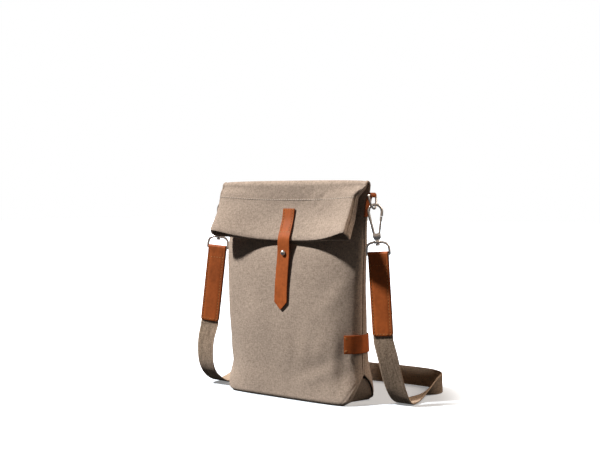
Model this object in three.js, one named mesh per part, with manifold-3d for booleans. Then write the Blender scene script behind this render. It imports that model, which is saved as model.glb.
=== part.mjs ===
// Fold-over crossbody bag: a canvas tube on a boxed base, its mouth folded down over the front,
// with leather trims, metal snap hooks and a webbing strap that lies on the floor behind it.
// Millimetres, +Z up. The origin is the middle of the base, on the surface that the bag stands on.
// X runs across the bag, to the right as seen from the front, and the front faces -Y.

import * as THREE from 'three';
import { mergeVertices } from 'three/addons/utils/BufferGeometryUtils.js';
import Module from 'manifold-3d';

const wasm = await Module();
wasm.setup();

// Walls and clearances
const CANVAS = 1.8;
const LEATHER = 1.8;
const WEBBING = 1.8;
const GAP = 0.3;
// Solids that are joined into one piece run this far into each other.
const MELD = 0.5;

// Canvas body: one row for each level of the standing body. seamY is the side seam's place,
// halfWidth its distance from the middle, front and back how far the panels stand out from it,
// and frontSquare and backSquare how square the corners of each panel's outline are.
const bodyLevels = [
  { z: 0, seamY: 0, halfWidth: 99, front: 33, back: 33, frontSquare: 6, backSquare: 6 },
  { z: 36, seamY: 0, halfWidth: 99, front: 34, back: 33, frontSquare: 3.2, backSquare: 3.8 },
  { z: 60, seamY: 0, halfWidth: 98.6, front: 35, back: 30, frontSquare: 3.1, backSquare: 3 },
  { z: 85, seamY: 0, halfWidth: 98.6, front: 35.3, back: 26.5, frontSquare: 3.6, backSquare: 2.8 },
  { z: 120, seamY: 0, halfWidth: 98.8, front: 34, back: 21, frontSquare: 4.8, backSquare: 2.7 },
  { z: 160, seamY: -1, halfWidth: 100, front: 30, back: 14, frontSquare: 6, backSquare: 2.7 },
  { z: 190, seamY: -2, halfWidth: 102.2, front: 24, back: 9.5, frontSquare: 6, backSquare: 2.7 },
  { z: 213, seamY: -5, halfWidth: 104.6, front: 12, back: 6.5, frontSquare: 3.8, backSquare: 2.8 },
  { z: 240, seamY: -7.8, halfWidth: 108.8, front: 2.7, back: 2.7, frontSquare: 2.8, backSquare: 2.8 },
  { z: 257.5, seamY: -8, halfWidth: 111.4, front: 2.5, back: 2.5, frontSquare: 2.8, backSquare: 2.8 },
];
const BODY_STEPS = 14;

// Corner of the base: the panels are cut away below the gusset's apex, down to the base's corner.
const APEX_HEIGHT = 34;
const APEX_STEPS = 3;
const CORNER_SHARE = 0.215;
const CORNER_POWER = 1.5;
const GUSSET_TOP = 30;
const CREASE_HALF_LENGTH = 80;
const GUSSET_INSET = CANVAS + 1.6;
const GUSSET_FLAT_STEPS = 10;
const GUSSET_TENT_STEPS = 3;

// Crown: the flattened tube turns over this centre line, then hangs down as the flap.
const crown = {
  y: -12.25, z: 263.5, radius: 4.25, halfWidth: 112, depth: 2.5, square: 2.8, steps: 7,
};

// Flap: one row for each level, by the middle of the tube at x = 0. middle and ends are half of
// the tube's depth there and at its ends, where the mouth gapes.
const flapLevels = [
  { y: -16.6, z: 254, halfWidth: 111.4, middle: 2.4, ends: 7, square: 3.2 },
  { y: -16.9, z: 238, halfWidth: 109.6, middle: 2.3, ends: 10, square: 3.6 },
  { y: -19.6, z: 221.5, halfWidth: 107.8, middle: 2.2, ends: 11.2, square: 4 },
  { y: -24, z: 208, halfWidth: 106.2, middle: 2.2, ends: 11.8, square: 4.4 },
  { y: -28.6, z: 196.5, halfWidth: 105, middle: 2.2, ends: 12, square: 4.4 },
];
// The closure strap holds the flap's middle in, and its ends stand out by this angle.
const FLARE = THREE.MathUtils.degToRad(17);
const FLARE_POWER = 1.4;
const FLARE_RAMP = 10;
// How closely the tube's gaping keeps to its two ends
const GAPE_POWER = 4;

const PANEL_COLUMNS = 24;
const OUTLINE_SAMPLES = 240;
const TURN_WEIGHT = 40;

// Closure strap: the path of its middle down the front, with half its width there.
const CLOSURE_X = 0.7;
const closurePath = [
  { y: -21.1, z: 235.6, half: 9 },
  { y: -23.4, z: 223, half: 9 },
  { y: -28, z: 210, half: 9 },
  { y: -32, z: 199, half: 9.1 },
  { y: -32.5, z: 191, half: 9.2 },
  { y: -32.1, z: 181, half: 9.3 },
  { y: -33.7, z: 160, half: 9.5 },
  { y: -35.1, z: 138, half: 9.7 },
  { y: -36, z: 120, half: 9.8 },
  { y: -36.3, z: 111, half: 1 },
];
const stud = {
  z: 181, foot: -29, plateRadius: 4.5, plate: 1.2, neckRadius: 1.7, neck: 3.4,
  headRadius: 3.6, dome: 2.8, domeSteps: 5, sides: 12,
};
const STUD_HOLE = stud.neckRadius + GAP;

// Side label: a leather band folded round the right side seam.
const label = { bottom: 62, top: 84.5, levels: 2, share: 0.2, columns: 7, standOff: 0.5 };

// Side tabs: a leather strip on each side seam, rolled over the bar of a D-ring.
const tab = { barX: 114.5, y: -8, barZ: 252, width: 11, bottom: 226, top: 247, standOff: 0.5 };
// Rings are closed wires; barShare is the share of the wire's steps that go to the straight bar.
const RING_SIDES = 6;
const dRing = { wire: 1.2, halfWidth: 7.7, drop: 16.3, barShare: 0.3, steps: 26 };

// Snap hooks, in a frame whose origin is the middle of the swivel collar: x across, z up the stem.
const hook = {
  wire: 1.5, wireSteps: 26, legFoot: [-2.6, 6.5], legMiddle: [-4.3, 18],
  arcX: 1.1, arcHeight: 36.5, arcRadius: 7.9, arcSteps: 8, nose: [8, 30],
  baseBottom: 2.5, shoulder: 5, baseTop: 10.5, baseHalf: 4.6, neckHalf: 3, baseDepth: 4.6,
  stem: 1.7, rivet: 2.6, rivetTop: -2.3, rivetBottom: -4.4,
};
const gate = {
  pivot: [2.9, 8.3], tip: [7.4, 29.3], rod: 1.3, rodStart: 4.2, eye: 1.9, eyeHole: 1.1, eyeSides: 14,
  tang: 1.7, pin: 0.8,
};
// The slot in the hook's base that the gate's eye sits in
const slot = { left: -0.4, right: 7.6, floor: 5.9, ceiling: 14.5, width: gate.tang + 2 * GAP };

// Strap rings: a D with a swivel collar on top, in the same frame as its hook.
const strapRing = {
  wire: 1.35, halfWidth: 14.2, shoulder: -9.5, barZ: -14.5, square: 2.6, barShare: 0.35, steps: 34,
  collar: 4, collarHalf: 1.9, collarSides: 16,
};

// Leather strap ends: folded over the ring's bar, with the webbing held between the two leaves.
const strapEnd = {
  width: 24.8, bottom: -112, neck: 6, leafGap: WEBBING + 2 * GAP, overlap: 26, exit: 2, lead: 5,
};

// How each side's hardware hangs from its collar, in degrees: turn about Z, lean sideways and pitch,
// for the ring with the leather end and for the hook, and the D-ring's swing outwards.
const sides = [
  {
    name: 'right',
    sign: 1,
    collar: [120.4, -5.2, 196.4],
    ring: { turn: 15, lean: -3.2, pitch: 1.6 },
    hook: { turn: 37, lean: -6.1, pitch: 0 },
    swing: 9.7,
  },
  {
    name: 'left',
    sign: -1,
    collar: [-125.8, -9.6, 197.4],
    ring: { turn: 18, lean: 5.2, pitch: -3.6 },
    hook: { turn: 171.7, lean: -7.8, pitch: 3.8 },
    swing: 22,
  },
];

// Free webbing, from the right leather end round behind the bag to the left one. x and y place its
// middle, lift is about the height of its lower edge, and turn and tilt give its width's direction,
// which runs askew where the strap twists from lying flat to standing on its edge.
const STRAP_WIDTH = 24.8;
const strapRoute = [
  { x: 131.2, y: 1.4, lift: 57, turn: 19, tilt: 0 },
  { x: 133.6, y: 3.6, lift: 43, turn: 18, tilt: 0 },
  { x: 135.6, y: 6.6, lift: 30, turn: 15, tilt: 0 },
  { x: 137.8, y: 11, lift: 17, turn: 10, tilt: 0 },
  { x: 139.6, y: 17.4, lift: 6.4, turn: 3, tilt: 0 },
  { x: 140, y: 26, lift: 1.2, turn: -5, tilt: 1 },
  { x: 139.2, y: 37, lift: 0.5, turn: -12, tilt: 2 },
  { x: 138.4, y: 48, lift: 0.6, turn: -20, tilt: 4 },
  { x: 138.4, y: 59, lift: 0.8, turn: -26, tilt: 10 },
  { x: 139.2, y: 70, lift: 1, turn: -28, tilt: 22 },
  { x: 140.8, y: 81, lift: 0.8, turn: -26, tilt: 40 },
  { x: 142.4, y: 92, lift: 0.6, turn: -20, tilt: 62 },
  { x: 142.8, y: 104, lift: 0.4, turn: -10, tilt: 82 },
  { x: 139.8, y: 117.5, lift: 0.3, turn: 0, tilt: 90 },
  { x: 131, y: 129, lift: 0.3, turn: 0, tilt: 90 },
  { x: 115, y: 138.5, lift: 0.3, turn: 0, tilt: 90 },
  { x: 95, y: 141.5, lift: 0.3, turn: 0, tilt: 90 },
  { x: 70, y: 141.5, lift: 0.3, turn: 0, tilt: 90 },
  { x: 40, y: 137.5, lift: 0.3, turn: 0, tilt: 90 },
  { x: 0, y: 134.5, lift: 0.3, turn: 0, tilt: 90 },
  { x: -40, y: 134.5, lift: 0.3, turn: 0, tilt: 90 },
  { x: -78, y: 135.5, lift: 0.3, turn: 180, tilt: 90 },
  { x: -104, y: 132, lift: 0.3, turn: 180, tilt: 90 },
  { x: -122, y: 120, lift: 0.3, turn: 180, tilt: 90 },
  { x: -131, y: 103, lift: 0.3, turn: 180, tilt: 90 },
  { x: -134.2, y: 84, lift: 0.4, turn: 180, tilt: 78 },
  { x: -135, y: 65, lift: 0.4, turn: 180, tilt: 54 },
  { x: -134.8, y: 48, lift: 0.4, turn: 180, tilt: 28 },
  { x: -134.5, y: 32, lift: 0.5, turn: 180, tilt: 10 },
  { x: -134.5, y: 18, lift: 0.6, turn: 180, tilt: 3 },
  { x: -134.6, y: 4.5, lift: 2, turn: 180, tilt: 1 },
  { x: -134.8, y: -8, lift: 8.2, turn: 180, tilt: 0 },
  { x: -135, y: -18.5, lift: 17.5, turn: 180, tilt: 0 },
  { x: -135.2, y: -24.6, lift: 30, turn: 182, tilt: 0 },
  { x: -135.4, y: -26, lift: 45, turn: 185, tilt: 0 },
  { x: -135.2, y: -24.4, lift: 62, turn: 190, tilt: 0 },
];
const ROUTE_STEPS = 2;

// Finishes
const finishes = {
  canvas: { color: 0x9c8c79, roughness: 0.95, metalness: 0 },
  leather: { color: 0xb4622f, roughness: 0.55, metalness: 0 },
  webbing: { color: 0x86765f, roughness: 0.9, metalness: 0 },
  metal: { color: 0xcdccca, roughness: 0.2, metalness: 1 },
};

function makeMesh(name, geometry, finish) {
  const mesh = new THREE.Mesh(geometry, new THREE.MeshStandardMaterial(finishes[finish]));
  mesh.name = name;
  return mesh;
}

// Solids

function geometryFrom(positions, triangles) {
  const geometry = new THREE.BufferGeometry();
  geometry.setAttribute('position', new THREE.Float32BufferAttribute(positions, 3));
  geometry.setIndex(triangles);
  return geometry;
}

function signedVolume(points, triangles) {
  let volume = 0;
  for (let i = 0; i < triangles.length; i += 3) {
    const [a, b, c] = [points[triangles[i]], points[triangles[i + 1]], points[triangles[i + 2]]];
    volume += a.dot(b.clone().cross(c)) / 6;
  }
  return volume;
}

// A closed sheet between two grids of points, rows by columns, with walls round its edge.
function closedSheet(faceGrid, backGrid) {
  const rows = faceGrid.length;
  const columns = faceGrid[0].length;
  const points = [...faceGrid.flat(), ...backGrid.flat()];
  const face = (row, column) => row * columns + column;
  const back = (row, column) => rows * columns + face(row, column);
  const triangles = [];
  const quad = (a, b, c, d) => triangles.push(a, b, c, a, c, d);
  for (let row = 0; row < rows - 1; row++) {
    for (let column = 0; column < columns - 1; column++) {
      quad(face(row, column), face(row, column + 1), face(row + 1, column + 1), face(row + 1, column));
      quad(back(row, column), back(row + 1, column), back(row + 1, column + 1), back(row, column + 1));
    }
  }
  const rim = [];
  for (let column = 0; column < columns - 1; column++) rim.push([0, column]);
  for (let row = 0; row < rows - 1; row++) rim.push([row, columns - 1]);
  for (let column = columns - 1; column > 0; column--) rim.push([rows - 1, column]);
  for (let row = rows - 1; row > 0; row--) rim.push([row, 0]);
  rim.forEach((here, index) => {
    const next = rim[(index + 1) % rim.length];
    quad(face(...next), face(...here), back(...here), back(...next));
  });
  if (signedVolume(points, triangles) < 0) triangles.reverse();
  return geometryFrom(points.flatMap((point) => point.toArray()), triangles);
}

function toManifold(geometry) {
  const bare = geometry.clone();
  bare.deleteAttribute('normal');
  bare.deleteAttribute('uv');
  const merged = mergeVertices(bare, 1e-4);
  return new wasm.Manifold(new wasm.Mesh({
    numProp: 3,
    vertProperties: new Float32Array(merged.attributes.position.array),
    triVerts: new Uint32Array(merged.index.array),
  }));
}

function fromManifold(solid) {
  const { vertProperties, triVerts } = solid.getMesh();
  return geometryFrom(Array.from(vertProperties), Array.from(triVerts));
}

function join(geometries) {
  return geometries.map(toManifold).reduce((whole, piece) => whole.add(piece));
}

// A rod along z, between two heights.
function rodZ(radius, low, high, segments = 12) {
  const rod = new THREE.CylinderGeometry(radius, radius, high - low, segments);
  return rod.rotateX(Math.PI / 2).translate(0, 0, (low + high) / 2);
}

// A rod along y, through a point of the x and z plane.
function rodY(radius, length, [x, z], segments = 12) {
  return new THREE.CylinderGeometry(radius, radius, length, segments).translate(x, 0, z);
}

// A profile drawn in x and z, as thick as depth along y.
function profileAlongY(shape, depth, curveSegments = 8) {
  const solid = new THREE.ExtrudeGeometry(shape, { depth, bevelEnabled: false, curveSegments });
  return solid.rotateX(Math.PI / 2).translate(0, depth / 2, 0);
}

// A round wire along a curve, with flat ends.
function wireAlong(curve, radius, steps, sides = 8) {
  const circle = new THREE.Shape().absarc(0, 0, radius, 0, 2 * Math.PI);
  const corners = new THREE.Shape(circle.getPoints(sides).slice(0, sides));
  return new THREE.ExtrudeGeometry(corners, { steps, extrudePath: curve, bevelEnabled: false });
}

// Canvas tube: sections along the middle of the side seam

function tableInterpolant(rows, key, columns) {
  const values = rows.flatMap((row) => columns.map((column) => row[column]));
  return new THREE.CubicInterpolant(rows.map((row) => row[key]), values, columns.length);
}

const bodyColumns = ['seamY', 'halfWidth', 'front', 'back', 'frontSquare', 'backSquare'];
const bodyCurve = tableInterpolant(bodyLevels, 'z', bodyColumns);

// Share of a panel's outline that is cut away at each side, at a height.
function cornerCut(z) {
  return CORNER_SHARE * Math.max(0, 1 - z / APEX_HEIGHT) ** CORNER_POWER;
}

function bodyStation(z) {
  const [y, halfWidth, front, back, frontSquare, backSquare] = bodyCurve.evaluate(z);
  const cut = cornerCut(z);
  const panels = {
    front: { middle: front, ends: front, square: frontSquare },
    back: { middle: back, ends: back, square: backSquare },
  };
  return { y, z, halfWidth, cut, flare: 0, ...panels };
}

function crownStation(angle) {
  const wall = { middle: crown.depth, ends: crown.depth, square: crown.square };
  const y = crown.y + crown.radius * Math.cos(angle);
  const z = crown.z + crown.radius * Math.sin(angle);
  return { y, z, halfWidth: crown.halfWidth, cut: 0, flare: 0, front: wall, back: wall };
}

function flapStation({ y, z, halfWidth, ...wall }) {
  const flare = FLARE * Math.min(1, (crown.z - z) / FLARE_RAMP);
  return { y, z, halfWidth, cut: 0, flare, front: wall, back: wall };
}

function tubeStations() {
  const stations = [];
  const top = bodyLevels.at(-1).z;
  for (let step = 0; step < APEX_STEPS; step++) {
    stations.push(bodyStation((APEX_HEIGHT * step) / APEX_STEPS));
  }
  for (let step = 0; step <= BODY_STEPS; step++) {
    stations.push(bodyStation(APEX_HEIGHT + ((top - APEX_HEIGHT) * step) / BODY_STEPS));
  }
  for (let step = 0; step <= crown.steps; step++) {
    stations.push(crownStation((Math.PI * step) / crown.steps));
  }
  stations.push(...flapLevels.map(flapStation));
  stations.forEach((station, index) => {
    const before = stations[Math.max(0, index - 1)];
    const after = stations[Math.min(stations.length - 1, index + 1)];
    const length = Math.hypot(after.y - before.y, after.z - before.z);
    // Across the tube, from the front panel's side to the back panel's
    station.across = { y: (after.z - before.z) / length, z: -(after.y - before.y) / length };
  });
  return stations;
}

function turnBetween(heading, newHeading) {
  const turned = newHeading - heading + Math.PI;
  return Math.abs(THREE.MathUtils.euclideanModulo(turned, 2 * Math.PI) - Math.PI);
}

// Half of a section's outline, from the right seam to the left one. Each point has its x, its depth
// from the seam, and its share of the outline, by length and by turning together.
function halfOutline(halfWidth, { middle, ends, square }) {
  const outline = [];
  let heading = Math.PI / 2;
  for (let sample = 0; sample <= OUTLINE_SAMPLES; sample++) {
    const angle = (Math.PI * sample) / OUTLINE_SAMPLES;
    const x = halfWidth * Math.sign(Math.cos(angle)) * Math.abs(Math.cos(angle)) ** (2 / square);
    const reach = Math.abs(Math.sin(angle)) ** (2 / square);
    const depth = (middle + (ends - middle) * Math.abs(x / halfWidth) ** GAPE_POWER) * reach;
    const last = outline.at(-1);
    if (!last) {
      outline.push({ x, depth, measure: 0 });
      continue;
    }
    const length = Math.hypot(x - last.x, depth - last.depth);
    const newHeading = Math.atan2(depth - last.depth, x - last.x);
    const turn = turnBetween(heading, newHeading);
    heading = newHeading;
    outline.push({ x, depth, measure: last.measure + length + TURN_WEIGHT * turn });
  }
  return outline;
}

function outlinePoint(outline, share) {
  const measure = share * outline.at(-1).measure;
  const index = Math.max(1, outline.findIndex((point) => point.measure >= measure));
  const [from, to] = [outline[index - 1], outline[index]];
  const part = (measure - from.measure) / (to.measure - from.measure);
  const { lerp } = THREE.MathUtils;
  return { x: lerp(from.x, to.x, part), depth: lerp(from.depth, to.depth, part) };
}

// A section's half outline on one panel, taken in from the canvas's outer face by inset.
function panelOutline(station, panel, inset) {
  const { middle, ends, square } = station[panel];
  return halfOutline(station.halfWidth - inset, { middle: middle - inset, ends: ends - inset, square });
}

function placeOnTube(station, panel, { x, depth }) {
  const across = panel === 'front' ? -depth : depth;
  const y = station.y + station.across.y * across - crown.y;
  const z = station.z + station.across.z * across - crown.z;
  const out = (Math.abs(x) / station.halfWidth) ** FLARE_POWER;
  const angle = station.flare * THREE.MathUtils.smoothstep(out, 0, 1);
  const swungY = y * Math.cos(angle) + z * Math.sin(angle);
  const swungZ = z * Math.cos(angle) - y * Math.sin(angle);
  return new THREE.Vector3(x, crown.y + swungY, crown.z + swungZ);
}

// Canvas pieces

function canvasPanel(stations, panel) {
  const wallGrid = (inset) => stations.map((station) => {
    const outline = panelOutline(station, panel, inset);
    return Array.from({ length: PANEL_COLUMNS + 1 }, (_, column) => {
      const share = THREE.MathUtils.lerp(station.cut, 1 - station.cut, column / PANEL_COLUMNS);
      const { x, depth } = outlinePoint(outline, share);
      return placeOnTube(station, panel, { x, depth: Math.max(depth, GAP / 2) });
    });
  });
  return closedSheet(wallGrid(0), wallGrid(CANVAS));
}

// A point of the base's edge at a height, at a share of the way along one panel's outline.
function gussetEdge(height, panel, share) {
  const station = { ...bodyStation(height), across: { y: 1, z: 0 } };
  return placeOnTube(station, panel, outlinePoint(panelOutline(station, panel, GUSSET_INSET), share));
}

// Rows of points from the front edge to the back one, bent at the middle.
function gussetRow(front, middle, back, cells = 4) {
  const row = [];
  for (let cell = 0; cell < cells; cell++) row.push(front.clone().lerp(middle, cell / cells));
  for (let cell = 0; cell <= cells; cell++) row.push(middle.clone().lerp(back, cell / cells));
  return row;
}

function gridNormals(grid) {
  return grid.map((row, r) => row.map((point, c) => {
    const along = grid[Math.min(r + 1, grid.length - 1)][c].clone().sub(grid[Math.max(r - 1, 0)][c]);
    const across = row[Math.min(c + 1, row.length - 1)].clone().sub(row[Math.max(c - 1, 0)]);
    return along.cross(across).normalize();
  }));
}

// The base lies flat on the floor, and each end is folded in and up to the apex of the side panels.
function baseGusset() {
  const rows = [];
  const crease = new THREE.Vector3(CREASE_HALF_LENGTH, 0, 0);
  const apex = gussetEdge(APEX_HEIGHT, 'front', 0).setZ(GUSSET_TOP);
  const tentRow = (step, sign) => {
    const height = (GUSSET_TOP * step) / GUSSET_TENT_STEPS;
    const share = cornerCut(height);
    const middle = crease.clone().lerp(apex, step / GUSSET_TENT_STEPS);
    const edges = ['front', 'back'].map((panel) => gussetEdge(height, panel, share));
    const mirrored = [edges[0], middle, edges[1]].map((point) => point.setX(sign * point.x));
    return gussetRow(...mirrored);
  };
  for (let step = GUSSET_TENT_STEPS; step >= 0; step--) rows.push(tentRow(step, -1));
  for (let step = 1; step < GUSSET_FLAT_STEPS; step++) {
    const share = THREE.MathUtils.lerp(1 - CORNER_SHARE, CORNER_SHARE, step / GUSSET_FLAT_STEPS);
    const [front, back] = ['front', 'back'].map((panel) => gussetEdge(0, panel, share));
    const middle = new THREE.Vector3(CREASE_HALF_LENGTH * ((2 * step) / GUSSET_FLAT_STEPS - 1), 0, 0);
    rows.push(gussetRow(front, middle, back));
  }
  for (let step = 0; step <= GUSSET_TENT_STEPS; step++) rows.push(tentRow(step, 1));
  const normals = gridNormals(rows);
  const inside = rows.map((row, r) => (
    row.map((point, c) => point.clone().addScaledVector(normals[r][c], CANVAS))
  ));
  return closedSheet(rows, inside);
}

// Ribbons: strips whose stations hold a middle point, the line across them and half of the width

function ribbon(stations, thickness) {
  const side = (direction) => stations.map(({ middle, width, half }, index) => {
    const before = stations[Math.max(0, index - 1)].middle;
    const after = stations[Math.min(stations.length - 1, index + 1)].middle;
    const along = after.clone().sub(before).normalize();
    const across = width.clone().addScaledVector(along, -width.dot(along));
    const face = along.cross(across).normalize();
    const skin = middle.clone().addScaledVector(face, (direction * thickness) / 2);
    return [-half, half].map((reach) => skin.clone().addScaledVector(width, reach / across.length()));
  });
  return closedSheet(side(1), side(-1));
}

function closureStrap() {
  const stations = closurePath.map(({ y, z, half }) => (
    { middle: new THREE.Vector3(CLOSURE_X, y, z), width: new THREE.Vector3(1, 0, 0), half }
  ));
  const holeLength = 4 * (stud.plate + stud.neck);
  const hole = new THREE.CylinderGeometry(STUD_HOLE, STUD_HOLE, holeLength, stud.sides)
    .translate(CLOSURE_X, stud.foot, stud.z);
  return fromManifold(toManifold(ribbon(stations, LEATHER)).subtract(toManifold(hole)));
}

// Stud: a foot on the front panel, a neck through the strap, and a domed head.
function closureStud() {
  const headBase = stud.plate + stud.neck;
  const profile = [
    [0, 0], [stud.plateRadius, 0], [stud.plateRadius, stud.plate], [stud.neckRadius, stud.plate],
    [stud.neckRadius, headBase],
  ].map(([radius, height]) => new THREE.Vector2(radius, height));
  const { domeSteps } = stud;
  for (let step = 0; step <= domeSteps; step++) {
    const angle = (Math.PI / 2) * (step / domeSteps);
    const radius = step === domeSteps ? 0 : stud.headRadius * Math.cos(angle);
    profile.push(new THREE.Vector2(radius, headBase + stud.dome * Math.sin(angle)));
  }
  return new THREE.LatheGeometry(profile, stud.sides)
    .rotateX(Math.PI)
    .translate(CLOSURE_X, stud.foot, stud.z);
}

// Label: it follows the right seam's outline from the front corner round to the back.
function sideLabel() {
  const skin = (standOff) => Array.from({ length: label.levels + 1 }, (_, level) => {
    const z = THREE.MathUtils.lerp(label.bottom, label.top, level / label.levels);
    const station = { ...bodyStation(z), across: { y: 1, z: 0 } };
    const run = (panel) => Array.from({ length: label.columns }, (_unused, column) => {
      const share = (label.share * (column + 1)) / label.columns;
      return placeOnTube(station, panel, outlinePoint(panelOutline(station, panel, -standOff), share));
    });
    const seam = new THREE.Vector3(station.halfWidth + standOff, station.y, z);
    return [...run('front').reverse(), seam, ...run('back')];
  });
  return closedSheet(skin(label.standOff + LEATHER), skin(label.standOff));
}

// Side tabs and D-rings, drawn for the right side and turned half round for the left

function sideTab() {
  const hole = dRing.wire + GAP;
  const roll = hole + LEATHER;
  const besideSeam = (z) => bodyStation(z).halfWidth + tab.standOff - tab.barX;
  const [footX, neckX] = [besideSeam(tab.bottom), besideSeam(tab.top)];
  const [footZ, neckZ] = [tab.bottom - tab.barZ, tab.top - tab.barZ];
  const outline = new THREE.Shape()
    .moveTo(footX, footZ)
    .lineTo(footX + LEATHER, footZ)
    .lineTo(neckX + LEATHER, neckZ)
    .absarc(0, 0, roll, -Math.PI / 2, Math.PI, false)
    .lineTo(neckX, neckZ);
  outline.holes.push(new THREE.Path().absarc(0, 0, hole, 0, 2 * Math.PI, true));
  return profileAlongY(outline, tab.width);
}

class DRingCurve extends THREE.Curve {
  getPoint(t, target = new THREE.Vector3()) {
    const { barShare } = dRing;
    if (t < barShare) return target.set(0, dRing.halfWidth * ((2 * t) / barShare - 1), 0);
    const angle = (Math.PI * (t - barShare)) / (1 - barShare);
    return target.set(0, dRing.halfWidth * Math.cos(angle), -dRing.drop * Math.sin(angle));
  }
}

class StrapRingCurve extends THREE.Curve {
  getPoint(t, target = new THREE.Vector3()) {
    const { halfWidth, shoulder, barZ, square, barShare } = strapRing;
    if (t < barShare) return target.set(halfWidth * (1 - (2 * t) / barShare), 0, barZ);
    const angle = Math.PI - (Math.PI * (t - barShare)) / (1 - barShare);
    const x = Math.sign(Math.cos(angle)) * Math.abs(Math.cos(angle)) ** (2 / square);
    const rise = Math.abs(Math.sin(angle)) ** (2 / square);
    const foot = shoulder - (shoulder - barZ) * Math.max(0, 1 - rise * 2);
    return target.set(halfWidth * x, 0, foot * (1 - rise));
  }
}

function closedRing(curve, radius, steps) {
  return new THREE.TubeGeometry(curve, steps, radius, RING_SIDES, true);
}

// Hook pieces

function hookFrame() {
  const points = [hook.legFoot, hook.legMiddle];
  for (let step = 0; step <= hook.arcSteps; step++) {
    const angle = Math.PI * (1 - step / hook.arcSteps);
    const x = hook.arcX + hook.arcRadius * Math.cos(angle);
    points.push([x, hook.arcHeight + hook.arcRadius * Math.sin(angle)]);
  }
  points.push(hook.nose);
  const curve = new THREE.CatmullRomCurve3(points.map(([x, z]) => new THREE.Vector3(x, 0, z)));
  const base = new THREE.Shape()
    .moveTo(-hook.neckHalf, hook.baseBottom)
    .lineTo(hook.neckHalf, hook.baseBottom)
    .lineTo(hook.baseHalf, hook.shoulder)
    .lineTo(hook.baseHalf, hook.baseTop)
    .lineTo(-hook.baseHalf, hook.baseTop)
    .lineTo(-hook.baseHalf, hook.shoulder);
  const body = join([wireAlong(curve, hook.wire, hook.wireSteps), profileAlongY(base, hook.baseDepth)]);
  const cut = new THREE.BoxGeometry(slot.right - slot.left, slot.width, slot.ceiling - slot.floor)
    .translate((slot.left + slot.right) / 2, 0, (slot.floor + slot.ceiling) / 2);
  const pin = rodY(gate.pin, slot.width + 2 * MELD, gate.pivot);
  const stem = rodZ(hook.stem, hook.rivetTop - MELD, hook.baseBottom + MELD);
  const rivet = rodZ(hook.rivet, hook.rivetBottom, hook.rivetTop);
  return fromManifold(body.subtract(toManifold(cut)).add(join([stem, rivet])).add(toManifold(pin)));
}

function hookGate() {
  const pivot = new THREE.Vector3(gate.pivot[0], 0, gate.pivot[1]);
  const tip = new THREE.Vector3(gate.tip[0], 0, gate.tip[1]);
  const along = tip.clone().sub(pivot).normalize();
  const start = pivot.clone().addScaledVector(along, gate.rodStart);
  const rod = wireAlong(new THREE.LineCurve3(start, tip), gate.rod, 1);
  const eye = rodY(gate.eye, gate.tang, gate.pivot, gate.eyeSides);
  const tangLength = gate.rodStart + 2 * MELD;
  const tang = new THREE.BoxGeometry(2 * gate.rod, gate.tang, tangLength)
    .translate(0, 0, tangLength / 2)
    .rotateY(Math.atan2(along.x, along.z))
    .translate(pivot.x, 0, pivot.z);
  const hole = rodY(gate.eyeHole, 3 * gate.tang, gate.pivot, gate.eyeSides);
  return fromManifold(join([rod, eye, tang]).subtract(toManifold(hole)));
}

// Strap ring: the wire and its swivel collar, bored for the hook's stem.
function strapRingSolid() {
  const wire = closedRing(new StrapRingCurve(), strapRing.wire, strapRing.steps);
  const { collarHalf, collarSides } = strapRing;
  const collar = rodZ(strapRing.collar, -collarHalf, collarHalf, collarSides);
  const bore = rodZ(hook.stem + GAP, -3 * collarHalf, 3 * collarHalf);
  return fromManifold(join([wire, collar]).subtract(toManifold(bore)));
}

// Leather end: a strip folded over the ring's bar, seen from its edge and drawn in depth and height.
function leatherEnd() {
  const inner = strapRing.wire + GAP;
  const outer = inner + LEATHER;
  const leafIn = strapEnd.leafGap / 2;
  const leafOut = leafIn + LEATHER;
  const neck = strapRing.barZ - strapEnd.neck;
  const fold = new THREE.Shape()
    .moveTo(-leafOut, strapEnd.bottom)
    .lineTo(-leafOut, neck)
    .lineTo(-outer, strapRing.barZ)
    .absarc(0, strapRing.barZ, outer, Math.PI, 0, true)
    .lineTo(leafOut, neck)
    .lineTo(leafOut, strapEnd.bottom)
    .lineTo(leafIn, strapEnd.bottom)
    .lineTo(leafIn, neck)
    .lineTo(inner, strapRing.barZ)
    .absarc(0, strapRing.barZ, inner, 0, Math.PI, false)
    .lineTo(-leafIn, neck)
    .lineTo(-leafIn, strapEnd.bottom);
  const settings = { depth: strapEnd.width, bevelEnabled: false, curveSegments: 8 };
  const strip = new THREE.ExtrudeGeometry(fold, settings);
  const acrossWidth = new THREE.Matrix4().makeBasis(
    new THREE.Vector3(0, 1, 0), new THREE.Vector3(0, 0, 1), new THREE.Vector3(1, 0, 0),
  );
  return strip.applyMatrix4(acrossWidth).translate(-strapEnd.width / 2, 0, 0);
}

// Assembly

function hangingFrame(collar, { turn, lean, pitch }) {
  const group = new THREE.Group();
  group.position.set(...collar);
  group.rotation.set(...[pitch, lean, turn].map(THREE.MathUtils.degToRad), 'ZYX');
  group.updateMatrix();
  return group;
}

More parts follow.
